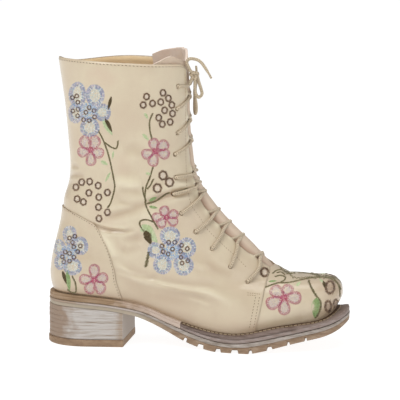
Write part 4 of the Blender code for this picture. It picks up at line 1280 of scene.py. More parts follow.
# %% [markdown]
# ## The lace
# One round braided cotton lace runs through punched eyelets in eleven rows. It comes out of an eyelet,
# crosses its own facing and the throat, and dives under the other facing to the next eyelet up. Pulled tight,
# it presses into the soft tongue. Each half is one tube along a smooth curve, so the hidden runs are there
# too. Above the top row it is tied in a small bow of two loops and two ends, which are free cords, keep the
# frame's route and thin out at their tips.

# %% Lace material and tubes
LACE_DIAMETER = 3.0
BRAID, BRAID_HEIGHT = 1.7, 0.3
LACE_SIDES = 12
NOT_ALONG = (0.3, 0.5, 0.8)
BRAID_LEANS = (2.0, -2.0)
CURVE_STEPS = 24


def braided(name, tones):
    """Braided cotton: two sets of diagonal yarns, from the tube's own coordinates."""
    made, tree, shader = new_material(name, ior=1.45, roughness=0.85, sheen_weight=0.25, sheen_roughness=0.5)
    place = add_node(tree, "UVMap", uv_map="along_and_around").outputs["UV"]
    yarns = []
    for lean in BRAID_LEANS:
        inputs = {0: place, 1: (1 / (BRAID * MM), lean, 0.0)}
        turned = add_node(tree, "VectorMath", inputs, operation="DOT_PRODUCT").outputs["Value"]
        phase = add_node(tree, "Math", {0: turned, 1: FULL_TURN}, operation="MULTIPLY").outputs[0]
        yarns.append(add_node(tree, "Math", {0: phase}, operation="SINE").outputs[0])
    braid = add_node(tree, "Math", {0: yarns[0], 1: yarns[1]}, operation="MAXIMUM").outputs[0]
    tone = add_node(tree, "ValToRGB", {"Fac": braid})
    set_stops(tone, tones)
    bump = add_node(tree, "Bump", {"Height": braid, "Strength": 0.7, "Distance": BRAID_HEIGHT * MM})
    link(tree, shader, base_color=tone.outputs["Color"], normal=bump.outputs["Normal"])
    return made


cotton_lace = braided("braided_cotton", ((0.0, "#B2A086"), (0.5, "#CBB99C"), (1.0, "#D8C8AE")))


def curve_through(points, spacing):
    """Places at even distances along a smooth curve through a few points."""
    points = np.asarray(points, float)
    fine = smooth(np.linspace(0, len(points) - 1, CURVE_STEPS * len(points)), range(len(points)), points)
    return even_places(fine, spacing)


def tube(path, radius, closed=False):
    """Points, faces and coordinates of a round cord along a path, with flat ends."""
    count = len(path)
    ahead = unit(np.roll(path, -1, 0) - np.roll(path, 1, 0) if closed else np.gradient(path, axis=0))
    side = np.cross(ahead[0], NOT_ALONG)
    angles = np.linspace(0, FULL_TURN, LACE_SIDES, endpoint=False)[:, None]
    rings = []
    for place, direction, reach in zip(path, ahead, np.broadcast_to(radius, count)):
        side = unit(side - direction * (side @ direction))
        rings.append(place + reach * (np.cos(angles) * side + np.sin(angles) * np.cross(direction, side)))
    run = run_along(np.vstack((path, path[:1])) if closed else path) * MM
    around = np.arange(LACE_SIDES + 1) / LACE_SIDES
    net = np.stack(np.meshgrid(run, around, indexing="ij"), axis=-1)
    corners = np.stack((net[:-1, :-1], net[:-1, 1:], net[1:, 1:], net[1:, :-1]), axis=2).reshape(-1, 2)
    faces = ring_faces(count, LACE_SIDES, closed)
    if not closed:
        end = list(range(LACE_SIDES))
        faces += [end[::-1], [k + (count - 1) * LACE_SIDES for k in end]]
        corners = np.vstack((corners, np.zeros((2 * LACE_SIDES, 2))))
    return np.concatenate(rings), faces, corners


def lace_piece(name, tubes):
    """One piece of one or more tubes, with the braid's coordinates."""
    all_points, all_faces, all_corners = zip(*tubes)
    points, faces = joined(zip(all_points, all_faces))
    mesh = bpy.data.meshes.new(name)
    mesh.from_pydata((points * MM).tolist(), [], faces)
    layer = mesh.uv_layers.new(name="along_and_around")
    layer.data.foreach_set("uv", np.concatenate(all_corners).astype(np.float32).ravel())
    return shown(name, mesh, cotton_lace, 50.0)


# %% The lace through its eyelets
LACE_HEIGHT = LACE_DIAMETER / 2 + 0.1
HIDDEN, IN_HOLE = -3.0, -0.6
UNDER, OVER, SUNK = -0.9, 0.1, 0.4
PRESSED, EDGE_RISE = 0.8, 0.3
BEND_DIP, BEND_LEVEL, BEND_REACH = 2.2, 9.9, 0.5
FACING_SHARES = (0.12, 0.35, 0.6, 0.82, 1.0)
BEHIND_HOLE, INSIDE_EDGE, BEYOND_FACING = 4.0, 3.0, 4.0
CROSSING_RISE, DIVE_RISE, MIDDLE_GIRTH = 0.12, 0.04, 0.001
LACE_PITCH = 1.1
TOP_ENTRY = {LATERAL: (-4.2, -6.4, 249.6), MEDIAL: (-4.2, -3.2, 250.6)}


def lace_half(first_side):
    """Centre line of the half that comes out of the lowest eyelet on one side."""
    points = []
    side = first_side
    for number, row in enumerate(LACING):
        half = throat_half(row.edge_level)
        points.append(girth_point(row.level, side * (row.girth - BEHIND_HOLE), HIDDEN))
        points.append(girth_point(row.level, side * row.girth, IN_HOLE))
        for share in FACING_SHARES:
            level = row.level + (row.edge_level - row.level) * share
            girth = row.girth + (half - row.girth) * share
            pressed = PRESSED * ramp(level, SHAFT_LEVEL, SHAFT_LEVEL + 1)
            points.append(girth_point(level, side * girth, LACE_HEIGHT + EDGE_RISE * share - pressed))
        if row is LACING[-1]:
            points.append(np.array(TOP_ENTRY[side]))
            break
        crown = tongue_crown(row.edge_level) - WALL - GAP
        crown -= BEND_DIP * bell(row.edge_level - BEND_LEVEL, BEND_REACH)
        crossing = OVER if (first_side == MEDIAL) == (number % 2 == 0) else UNDER
        points.append(girth_point(row.edge_level + CROSSING_RISE, MIDDLE_GIRTH * side, crossing + crown))
        points.append(girth_point(row.edge_level + DIVE - DIVE_RISE, -side * (half - INSIDE_EDGE), SUNK))
        points.append(girth_point(row.edge_level + DIVE, -side * (half + BEYOND_FACING), HIDDEN))
        side = -side
    return curve_through(points, LACE_PITCH)


halves = [lace_half(side) for side in BOTH_SIDES]
lace = lace_piece("lace_through_eyelets", [tube(path, LACE_DIAMETER / 2) for path in halves])
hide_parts(*[f"lace_cross_{number:02d}" for number in range(1, len(LACING))])
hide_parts("lace_top_lateral", "lace_top_medial")
print("lace halves:", [f"{run_along(path)[-1]:.0f} mm" for path in halves])

# %% Punched eyelets
EYELET, HOLE_REACH, HOLE_SIDES = 4.0, 4.0, 14
HOLE_ENDS = [list(range(HOLE_SIDES))[::-1], list(range(HOLE_SIDES, 2 * HOLE_SIDES))]
HOLE_FACES = ring_faces(2, HOLE_SIDES) + HOLE_ENDS
hole_turns = np.linspace(0, FULL_TURN, HOLE_SIDES, endpoint=False)[:, None]
holes = []
for row in LACING:
    for side in BOTH_SIDES:
        top, foot = (girth_point(row.level, side * row.girth, z) for z in (HOLE_REACH, -HOLE_REACH))
        axis = unit(top - foot)
        across = unit(np.cross(axis, (0.0, 0.0, 1.0)))
        circle = EYELET / 2 * (np.cos(hole_turns) * across + np.sin(hole_turns) * np.cross(axis, across))
        holes.append((np.vstack((foot + circle, top + circle)), HOLE_FACES))
for sheet, name in ((quarters, "quarter_holes"), (lining, "lining_holes")):
    cut(sheet, piece(name, *joined(holes), cream_leather, "cream_leather"))
print("eyelets:", 2 * len(LACING), "quarters now", len(quarters.data.polygons), "faces")

# %% The bow
KNOT = np.array((-2.2, -5.0, 250.5))
TIP_LENGTH, TIP_SHARE = 5.0, 0.7
KNOT_STEPS, BOW_PITCH = 90, 0.8
KNOT_DEEP, KNOT_WIDE, KNOT_TALL, KNOT_BACK = 1.15, 1.8, 1.2, 1.0
NEAR_LOOP = (
    (-2.6, -6.8, 249.0), (-2.4, -6.5, 243.6), (-2.4, -6.6, 238.1), (-1.6, -6.4, 233.3), (1.1, -5.4, 230.2),
    (3.8, -4.2, 233.1), (2.8, -3.2, 237.8), (1.0, -3.8, 243.6), (-0.4, -4.2, 249.2),
)
SHORT_END = ((-1.2, -4.8, 252.5), (-1.2, -4.8, 255.6), (-1.5, -5.2, 259.0))
FAR_LOOP = (
    (-2.0, -2.4, 248.6), (-1.6, 1.4, 246.0), (-3.0, 2.6, 240.0), (-3.6, 2.4, 234.3), (-3.2, 2.2, 228.6),
    (-2.4, 2.4, 223.4), (-2.2, 3.6, 218.2), (-3.0, 6.2, 214.2), (-4.0, 9.6, 213.6), (-4.6, 11.4, 218.0),
    (-4.4, 10.4, 226.0), (-3.8, 8.0, 235.0), (-3.0, 5.4, 243.0), (-1.4, 3.6, 249.8), (-1.8, -2.8, 252.6),
)
LONG_END = (
    (-4.4, -6.8, 252.6), (-6.8, -8.4, 255.6), (-8.6, -9.6, 259.6), (-9.6, -9.9, 263.0), (-7.8, -9.8, 265.6),
    (-4.8, -9.8, 266.2), (0.5, -10.0, 265.1), (4.2, -10.5, 262.4), (7.3, -11.0, 258.3), (11.1, -12.0, 252.6),
    (13.3, -12.0, 248.5),
)
turns = np.linspace(0, FULL_TURN, KNOT_STEPS, endpoint=False)
trefoil = np.column_stack((
    KNOT_DEEP * (np.sin(turns) + 2 * np.sin(2 * turns)) - KNOT_BACK,
    KNOT_WIDE * np.sin(3 * turns),
    KNOT_TALL * (np.cos(turns) - 2 * np.cos(2 * turns)),
))
knot = lace_piece("bow_knot", [tube(KNOT + trefoil, LACE_DIAMETER / 2, closed=True)])
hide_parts("lace_knot")
bow_parts = (
    ("bow_near_loop", NEAR_LOOP + SHORT_END, ("lace_near_loop", "lace_short_end")),
    ("bow_far_loop", FAR_LOOP + LONG_END, ("lace_far_loop", "lace_long_end")),
)
for name, route, nodes in bow_parts:
    path = curve_through(route, BOW_PITCH)
    to_end = run_along(path)[-1] - run_along(path)
    full = TIP_SHARE + (1 - TIP_SHARE) * ramp(to_end, TIP_LENGTH, 2 * TIP_LENGTH)
    part = lace_piece(name, [tube(path, LACE_DIAMETER / 2 * full)])
    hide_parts(*nodes)
    print(name, f"{run_along(path)[-1]:.0f} mm")

# %% [markdown]
# ## Stitches
# Every row of stitching is made of short raised threads that dip into the leather at both ends.
# A row is a line of picture points on the upper, or a ring at a level, and becomes stitches of even length.
# All stitches are tiny bars of fourteen triangles, joined into one mesh with a colour for each thread.

# %% Thread material and bars
TWIST = 1.2
ROOT = 0.15
BAR_SECTIONS = ((0.0, ROOT), (0.5, 1.0), (1.0, ROOT))
BAR_SIDES = ((0, 3, 4, 1), (1, 4, 5, 2), (2, 5, 3, 0), (3, 6, 7, 4), (4, 7, 8, 5), (5, 8, 6, 3))
BAR_ENDS = ((0, 1, 2), (8, 7, 6))
BAR_CORNERS = 9
LINE_PITCH, SIDE_PITCH = 0.7, 2.0


def thread_material(name):
    """Twisted thread: each stitch keeps its own colour, with the gloss of mercerised cotton."""
    made, tree, shader = new_material(name, ior=1.5, roughness=0.5, sheen_weight=0.3, sheen_roughness=0.4)
    dye = add_node(tree, "Attribute", attribute_name="dye").outputs["Color"]
    place = add_node(tree, "TexCoord").outputs["Object"]
    twist = add_node(tree, "TexNoise", {"Vector": place, "Scale": 1 / (TWIST * MM), "Detail": 2.0})
    shade = add_node(tree, "MapRange", {0: twist.outputs["Fac"], 3: 0.8, 4: 1.15})
    tint = add_node(tree, "VectorMath", {0: dye, 1: shade.outputs[0]}, operation="MULTIPLY")
    link(tree, shader, base_color=tint.outputs[0])
    return made


thread = thread_material("mercerised_cotton_thread")


def bars(name, starts, ends, normals, widths, heights, dyes):
    """Joined mesh of arched bars from start to end, each with its own width, height and colour."""
    starts, ends, normals = (np.asarray(part, float) for part in (starts, ends, normals))
    widths, heights = (np.broadcast_to(part, len(starts))[:, None] for part in (widths, heights))
    along = ends - starts
    across = np.cross(normals, along)
    across *= widths / 2 / np.maximum(np.linalg.norm(across, axis=1)[:, None], 1e-9)
    corners = []
    for share, lift in BAR_SECTIONS:
        middle = starts + along * share
        foot = middle - ROOT * normals
        corners += [foot + across, middle + normals * heights * lift, foot - across]
    points = np.stack(corners, axis=1)
    first = np.arange(len(points))[:, None, None] * BAR_CORNERS
    faces = (first + np.array(BAR_SIDES)).reshape(-1, 4).tolist()
    faces += (first + np.array(BAR_ENDS)).reshape(-1, 3).tolist()
    made = piece(name, points.reshape(-1, 3), faces, thread, "cotton_lace", 60.0)
    dye = made.data.color_attributes.new("dye", "FLOAT_COLOR", "POINT")
    dye.data.foreach_set("color", np.repeat(np.asarray(dyes, np.float32), BAR_CORNERS, axis=0).ravel())
    return made


def tree_of(*things):
    """Search tree over the final outer faces of some pieces, in millimetres."""
    depsgraph = bpy.context.evaluated_depsgraph_get()
    parts = []
    for thing in things:
        mesh = thing.evaluated_get(depsgraph).to_mesh()
        points = np.array([v.co / MM for v in mesh.vertices])
        parts.append((points, [tuple(polygon.vertices) for polygon in mesh.polygons]))
    points, faces = joined(parts)
    return BVHTree.FromPolygons(points.tolist(), faces)


skin = tree_of(quarters, vamp, counter)


def sewn(line, normals, length, gap):
    """Starts, ends and normals of stitches along a line in space."""
    run = run_along(line)
    starts = np.arange(0.0, run[-1] - length, length + gap)
    up = at_places(starts + length / 2, run, normals)
    return at_places(starts, run, line), at_places(starts + length, run, line), up


def photo_line(pixels, side):
    """Line on the upper behind a line of picture points."""
    places, normals = zip(*[trace(skin, pixel, side) for pixel in even_places(pixels, LINE_PITCH)])
    return np.array(places), np.array(normals)


def beside(pixels, distance):
    """A line of picture points moved sideways, to its left as it runs."""
    pixels = even_places(pixels, SIDE_PITCH)
    ahead = unit(np.gradient(pixels, axis=0))
    return pixels + distance * np.column_stack((ahead[:, 1], -ahead[:, 0]))


# %% Rows of stitches on the upper
Seam = namedtuple("Seam", "dye length gap line")
COUNTER_SEAM = (
    (64.5, 206), (75.5, 214), (85.7, 219.5), (95.9, 225.6), (101, 235), (106, 244.5), (110.2, 256),
    (113.8, 269), (115.3, 282), (119, 291.5), (121.5, 299),
)
FACING_SEAM = (
    (246, 267), (236.2, 256.5), (226.2, 248), (217.8, 239.6), (211, 233.5), (204.8, 226.6), (201, 219),
    (191.5, 206), (186.8, 188), (185.9, 160), (185.6, 120), (185.4, 81), (184.6, 73),
)
FACING_EDGE = ((186.8, 78), (188.2, 94), (188.8, 110), (189.2, 130), (189.6, 150), (190.6, 162))
TAN_THREAD, DARK_THREAD, PALE_THREAD, WELT_THREAD = "#96795A", "#684F38", "#AF9499", "#BFA987"
COUNTER_ROW = -1.3
SEAMS = (
    Seam(DARK_THREAD, 1.5, 1.3, ((259.5, 297), (253.5, 329))),
    Seam(DARK_THREAD, 1.5, 1.3, ((255.6, 297), (249.3, 328.6))),
    Seam(TAN_THREAD, 1.5, 0.6, ((247.2, 292.8), (260.5, 294.2))),
    Seam(TAN_THREAD, 1.5, 0.6, ((247.2, 295), (256.3, 295.6))),
    Seam(TAN_THREAD, 1.6, 1.1, FACING_SEAM),
    Seam(PALE_THREAD, 1.3, 1.2, FACING_EDGE),
    Seam(DARK_THREAD, 1.6, 1.3, beside(COUNTER_SEAM, COUNTER_ROW)),
)
COLLAR_INSET, COLLAR_ENDS, COLLAR_STITCH, COLLAR_GAP = 0.09, 3, 1.9, 1.5
SEAM_WIDTH, SEAM_HEIGHT = 0.75, 0.35
sewing = []
for seam in SEAMS:
    for side in BOTH_SIDES:
        sewing.append((sewn(*photo_line(seam.line, side), seam.length, seam.gap), seam.dye))
collar_row = int(np.argmax(quarter_levels > COLLAR_LEVEL - COLLAR_INSET)) * QUARTER_COLUMNS
collar_line = quarter_points[collar_row + COLLAR_ENDS:collar_row + QUARTER_COLUMNS - COLLAR_ENDS]
collar_middle = surface(COLLAR_LEVEL, math.pi / 2) * (1.0, 0.0, 1.0)
collar_normals = unit((collar_line - collar_middle) * (1.0, 1.0, 0.0))
sewing.append((sewn(collar_line, collar_normals, COLLAR_STITCH, COLLAR_GAP), DARK_THREAD))
seam_dyes = np.concatenate([np.tile(colour(dye), (len(row[0]), 1)) for row, dye in sewing])
seam_rows = [np.concatenate([row[part] for row, _ in sewing]) for part in range(3)]
bars("upper_stitches", *seam_rows, SEAM_WIDTH, SEAM_HEIGHT, seam_dyes)

# %% Welt stitches
WELT_STITCH, WELT_STITCH_GAP, WELT_STITCH_WIDTH, WELT_STITCH_HEIGHT = 3.0, 1.1, 1.2, 0.8
SEWN_SHARE, GROOVE_OUT, GROOVE_HEIGHT = 0.995, 2.3, 0.9
SLANT, GROOVE_PITCH = 0.7, 1.0
groove_end = welt_turn * SEWN_SHARE
groove_path, groove_in = edge_path(SOLE_PLAN, -groove_end, groove_end, GROOVE_PITCH)
groove = groove_path + groove_in * (ledge_width(groove_path) - GROOVE_OUT)[:, None]
low, high = (sole_height(groove_path[:, 0], line) for line in HEIGHTS)
groove = np.column_stack((groove, low + (high - low) * GROOVE_HEIGHT - toe_drop(groove_path[:, 0])))
outward = np.column_stack((-SLANT * groove_in, np.full(len(groove), SLANT)))
welt_rows = sewn(groove, outward, WELT_STITCH, WELT_STITCH_GAP)
welt_dyes = np.tile(colour(WELT_THREAD), (len(welt_rows[0]), 1))
bars("welt_stitches", *welt_rows, WELT_STITCH_WIDTH, WELT_STITCH_HEIGHT, welt_dyes)
print("stitches:", len(seam_dyes), "on the upper,", len(welt_rows[0]), "on the welt")

# %% [markdown]
# ## Embroidery
# Flowers, ring clusters and vines are sewn in coloured cotton, a common folk ornament. A flower is five
# petals, each with two bands of short stitches across its outline and paler seed stitches inside. A ring is a
# round of brown stitches about a pale middle, a stem is a rope of slanting stitches and a leaf is filled from
# its midrib.
# The motifs sit where the picture has them, and the hidden side carries their mirror image.

# %% Motif tables in picture points
Flower = namedtuple("Flower", "thread x y band petals")
Petal = namedtuple("Petal", "x y half_width half_height")
BLUE, PINK = "blue", "pink"
FLOWERS = (
    Flower(BLUE, 88, 111, 4.5, (
        Petal(77.4, 94.8, 8.4, 12.4), Petal(95, 95.6, 9.2, 10.8), Petal(102.4, 112.4, 8.2, 8.6),
        Petal(89.8, 127.4, 9.4, 9.4), Petal(75.8, 113.2, 7.4, 9.8),
    )),
    Flower(BLUE, 172, 252, 4.4, (
        Petal(170.1, 236.3, 9.8, 9.4), Petal(186.6, 247.5, 9.2, 9.6), Petal(183.6, 265.3, 9.6, 9.8),
        Petal(162.6, 264.5, 9, 9.4), Petal(155, 250.2, 7.2, 7.8),
    )),
    Flower(BLUE, 69.5, 252, 4.0, (
        Petal(69.6, 234, 6.8, 8), Petal(80.6, 246, 7.4, 9), Petal(72.6, 266.6, 9, 8.4),
        Petal(59.8, 262, 5.4, 7.6), Petal(59.2, 247.6, 6, 8),
    )),
    Flower(PINK, 90.5, 150, 2.6, (
        Petal(84.7, 142, 5.4, 6.6), Petal(95, 142, 5.4, 6.6), Petal(83.2, 152, 5.8, 5.2),
        Petal(98.2, 153, 5.8, 5.4), Petal(91, 160, 5.2, 6),
    )),
    Flower(PINK, 156, 151, 2.6, (
        Petal(153.7, 144, 5.2, 6), Petal(163.4, 145.2, 5.6, 5.4), Petal(164, 154, 5.8, 5.2),
        Petal(153.2, 160.6, 5.4, 6), Petal(147, 154, 5.6, 5.2),
    )),
    Flower(PINK, 166.5, 217.5, 2.4, (
        Petal(164.4, 210.9, 5, 5.2), Petal(173.4, 214.3, 5.2, 4.8), Petal(173, 221.5, 5, 5),
        Petal(161.5, 222.9, 5, 5.2), Petal(156.9, 217.2, 5, 4.6),
    )),
    Flower(PINK, 94.3, 280, 2.5, (
        Petal(94.3, 271, 5.4, 7), Petal(102.2, 278, 6, 5.4), Petal(100.4, 287.8, 5.4, 6.2),
        Petal(89.8, 287.8, 5.4, 6.2), Petal(85.4, 279.4, 6.4, 5.2),
    )),
    Flower(PINK, 284, 297.5, 2.8, (
        Petal(276.3, 291.2, 6.6, 6), Petal(287.6, 289.6, 5.8, 5.4), Petal(294.8, 297.8, 6.6, 6.4),
        Petal(284.2, 308, 6, 7), Petal(272.8, 303, 6.8, 6.6),
    )),
)
RingMark = namedtuple("RingMark", "outer inner lobes stretch fill places")
RING_MARKS = (
    RingMark(3.9, 2.0, 6, 0.92, "ring_fill", (
        (75.9, 187.3), (81.7, 182.2), (89.7, 181.6), (98.2, 185.6), (107.4, 192.5), (88.9, 192.9),
        (98.8, 197.2), (77.2, 199), (83.4, 202), (98.5, 207.2), (107.4, 212.3), (99, 218.5),
        (146.5, 96.6), (143.2, 105), (152.5, 103.4), (160.7, 102), (163, 92.8), (168.4, 98.3),
        (171.8, 105), (164.6, 110.3), (172.5, 113.6), (158.7, 117.7), (162.3, 124.1), (170.2, 122),
    )),
    RingMark(2.6, 1.1, 0, 1.0, "ring_fill", (
        (72.5, 97.7), (76.8, 96), (77.9, 102.2), (72.9, 111), (78.1, 109.3), (77.7, 115.8), (85.9, 112.3),
        (89.3, 107.6), (94, 110.6), (94.5, 117), (89.3, 120.5), (83.7, 119.7), (162, 245.9),
        (168.7, 242.3), (174.9, 242.3), (181.6, 245.2), (187.3, 248.7), (172.5, 249.2), (163.2, 251.6),
        (168.2, 254), (180.6, 251.4), (181.1, 257.3), (182.1, 263.1), (187.8, 260.7), (69.6, 238.2),
        (74.9, 236.3), (72.5, 242.5), (73.9, 246.8), (80.4, 245.9), (77.8, 251.6), (65.3, 252.1),
        (69.6, 253.5), (62.4, 256.9), (63.9, 261.7), (69.6, 261.2), (73.9, 257.3),
    )),
    RingMark(5.1, 2.9, 7, 0.95, "ring_fill", ((163, 175.4), (169.5, 182.2), (157.4, 188.2))),
    RingMark(7.4, 4.2, 9, 0.72, "tan_fill", ((330.0, 287.2),)),
    RingMark(5.4, 2.6, 7, 0.9, "ring_fill", ((264.6, 272.2),)),
    RingMark(6.6, 3.6, 7, 0.58, "tan_fill", ((328.2, 306.2),)),
    RingMark(5.2, 2.8, 6, 0.55, "tan_fill", ((335.8, 303.6),)),
)
Stem = namedtuple("Stem", "width line")
STEMS = (
    Stem(2.3, ((98.6, 131), (104, 142), (109, 157), (113.5, 178), (114.6, 188), (111, 202), (107.7, 207.6))),
    Stem(2.4, ((105.4, 143), (111, 147), (115.8, 148.5), (117.6, 145), (118, 141))),
    Stem(2.4, ((152.5, 113.5), (149.6, 121.5), (150, 131), (152, 139))),
    Stem(2.4, ((153, 167), (150, 177), (145.6, 189), (145.6, 204), (151.4, 217), (158, 229))),
    Stem(2.3, ((142.6, 187), (143.5, 194), (146, 201))),
    Stem(2.3, ((153.4, 179), (150.5, 185), (147, 189))),
    Stem(2.2, ((147, 203.6), (156, 201), (167, 193.5), (175.5, 192.5), (188, 188.4))),
    Stem(2.4, ((153.5, 222), (147, 219.8), (141, 220.6), (139.6, 224), (142, 228.5), (146, 233.5))),
    Stem(4.4, ((148.8, 252), (147.2, 260), (145.6, 267))),
    Stem(2.4, ((72, 276), (75.3, 283), (75.8, 292), (71, 292), (67.6, 289.5))),
    Stem(2.8, (
        (265.6, 287.1), (277.8, 282.9), (288.6, 282.5), (302.3, 279.5), (311.5, 277.6), (321.5, 276.8),
        (330.6, 278.7), (337.5, 283.3), (341, 289.4),
    )),
    Stem(2.2, ((287, 273.6), (300, 272.8), (313, 273.2), (325, 275.2), (334, 278.4))),
    Stem(2.0, ((331.5, 276.8), (336.6, 281.6), (339.4, 288.4), (340, 296.5))),
    Stem(3.4, (
        (308.5, 280.2), (311.5, 287.9), (316.1, 295.6), (319.6, 300), (320.8, 304.7), (319.4, 311.5),
        (315.3, 318),
    )),
    Stem(2.2, ((272.6, 273.4), (276, 270.6), (281, 269.6), (285, 271.2), (287, 273.8))),
    Stem(2.2, ((275, 276.6), (280, 275.3), (285.2, 277), (284.4, 280), (281, 282))),
    Stem(2.0, ((277, 272.8), (281, 272), (285, 274.6))),
)
Leaf = namedtuple("Leaf", "shade start end width")
PALE, GREEN, DARK = "pale_leaf", "green_leaf", "dark_leaf"
LEAVES = (
    Leaf(DARK, (111.4, 96.4), (108, 110), 3.2),
    Leaf(PALE, (102.6, 119.5), (112.5, 135.5), 5.6),
    Leaf(DARK, (105, 118.5), (112, 132), 4.4),
    Leaf(PALE, (101, 161), (108, 165), 4.0),
    Leaf(PALE, (113.5, 151), (112.5, 159), 2.2),
    Leaf(PALE, (110.5, 172), (105, 182), 2.6),
    Leaf(PALE, (144.6, 113), (148, 119), 3.0),
    Leaf(PALE, (142.6, 134), (149, 140.5), 3.6),
    Leaf(PALE, (146, 173), (151, 174.5), 3.0),
    Leaf(GREEN, (149, 201), (157, 197), 3.4),
    Leaf(GREEN, (149, 206.5), (157.5, 208), 3.2),
    Leaf(PALE, (141.5, 225), (157.5, 242.5), 12.5),
    Leaf(DARK, (145.5, 230.5), (151, 244.5), 8.6),
    Leaf(GREEN, (67, 270.5), (69.5, 291), 5.0),
    Leaf(DARK, (62.5, 271), (66.5, 284), 3.6),
    Leaf(GREEN, (317.6, 297.5), (314.6, 318.2), 10.0),
    Leaf(PALE, (296, 286), (301, 281.5), 3.2),
    Leaf(PALE, (319.5, 279), (324, 283), 2.4),
    Leaf(DARK, (323.2, 281.0), (325.4, 288.4), 3.4),
    Leaf(GREEN, (268.5, 281.5), (277, 280.8), 2.2),
)

# %% Stitches of each motif
SHADES = {
    BLUE: ("#5F76AE", "#8094BE", "#82AAC8", "#9CA6C8", "#D8DEE2"),
    PINK: ("#BC7890", "#B05E7C", "#CB96A4", "#B24E6C", "#DDBEC2"),
    "blue_rim": ("#8A98C4", "#AEAED0", "#88AACA", "#D0D4DE", "#7286B6"),
    "pink_rim": ("#B0506E", "#B86480", "#A85470", "#BC4C68", "#C07A8C"),
    "blue_centre": ("#A4C4D6", "#98B6D0", "#A2AECC", "#C6D4DE", "#8CA4C8"),
    "pink_centre": ("#BC4C6C", "#C25E7C", "#B2506E", "#CA7C90"),
    "blue_fill": ("#D8DCD2", "#E6E8E0", "#C8CECA"),
    "pink_fill": ("#D2C2C0", "#C9B8B8", "#D8CCC8"),
    "ring": ("#735A48", "#836852", "#957A62"),
    "ring_fill": ("#DCCCBC", "#E2D5C8"),
    "tan_fill": ("#B39A84", "#A88E78", "#BDA792"),
    "stem": ("#7E7150", "#8A7E5A", "#746848", "#8C8762"),
    PALE: ("#C9D6AC", "#BCCB9A", "#D3DDB8"),
    GREEN: ("#9DB57C", "#AABF8A", "#93AB70"),
    DARK: ("#6B5A3A", "#786846", "#625234"),
}
MOST_STRETCH = 4
Stitch = namedtuple("Stitch", "width height")
CENTRE_STITCH, SEED_STITCH, PETAL_STITCH = Stitch(0.9, 0.3), Stitch(0.6, 0.25), Stitch(0.85, 0.5)
RING_SEED, RING_STITCH, STEM_STITCH = Stitch(0.8, 0.2), Stitch(0.7, 0.7), Stitch(0.7, 0.55)
LEAF_STITCH = {PALE: Stitch(0.8, 0.4), GREEN: Stitch(0.8, 0.5), DARK: Stitch(0.8, 0.8)}
BAND_UNEVEN = (0.88, 1.12)


class Sewing:
    """Stitches gathered in the picture plane: start, end, width and height in millimetres, colour."""

    def __init__(self):
        self.rows = []

    def add(self, starts, ends, width, height, shades):
        starts, ends = np.atleast_2d(starts), np.atleast_2d(ends)
        picked = random.integers(0, len(shades), len(starts))
        for start, end, pick in zip(starts, ends, picked):
            self.rows.append((start, end, width, height, colour(shades[pick])))

    def make(self, name):
        kept = []
        for side in BOTH_SIDES:
            for start, end, *look in self.rows:
                place, normal = trace(skin, start, side)
                far, _ = trace(skin, end, side)
                if np.linalg.norm(far - place) <= MOST_STRETCH * np.linalg.norm(end - start) + 1:
                    kept.append((place, far, normal, *look))
        print(name, len(kept), "stitches")
        return bars(name, *zip(*kept))


def closed_band(sewing, line, band, spacing, width, height, shades):
    """Stitches across a closed line, each a little long or short."""
    line = even_places(np.vstack((line, line[:1])), spacing)[:-1]
    ahead = unit(np.roll(line, -1, 0) - np.roll(line, 1, 0))
    out = np.column_stack((ahead[:, 1], -ahead[:, 0]))
    reach = band / 2 * random.uniform(*BAND_UNEVEN, (2, len(line), 1))
    sewing.add(line - out * reach[0], line + out * reach[1], width, height, shades)


# %% Flowers
PETAL_REACH = {BLUE: 0.62, PINK: 0.86}
PETAL_TAPER = {BLUE: 0.1, PINK: 0.24}
PETAL_SPREAD = 1.05
CENTRE_SIZE = {BLUE: 0.52, PINK: 0.34}
CENTRE_SEEDS, PETAL_SEEDS = 3.2, 6.0
SEED_REACH, SEED_SLANT, SEED_INSET = 0.9, 0.5, 0.8
RIM_PLACE, BODY_PLACE, BAND_SHARE = 0.28, 0.76, 0.56
BAND_PITCH, PETAL_STEPS = 1.0, 48


def petal_shape(flower, petal, offsets):
    """Picture points of offsets from a petal's middle, drawn out and narrower towards the flower's middle."""
    out = np.array((petal.x - flower.x, petal.y - flower.y), float)
    distance = np.linalg.norm(out)
    out /= distance
    half = math.hypot(out[0] * petal.half_width, out[1] * petal.half_height)
    along = offsets @ out
    across = offsets - along[:, None] * out
    taper = 1 + PETAL_TAPER[flower.thread] * np.clip(along / half, -1, 1)
    along = np.where(along < 0, along * max(1.0, PETAL_REACH[flower.thread] * distance / half), along)
    return np.array((petal.x, petal.y)) + along[:, None] * out + across * taper[:, None], out


def seeds_in_circle(count):
    """Random places in a circle of radius one."""
    seeds = random.uniform(-1, 1, (int(count), 2))
    return seeds[(seeds**2).sum(1) < 1.0]


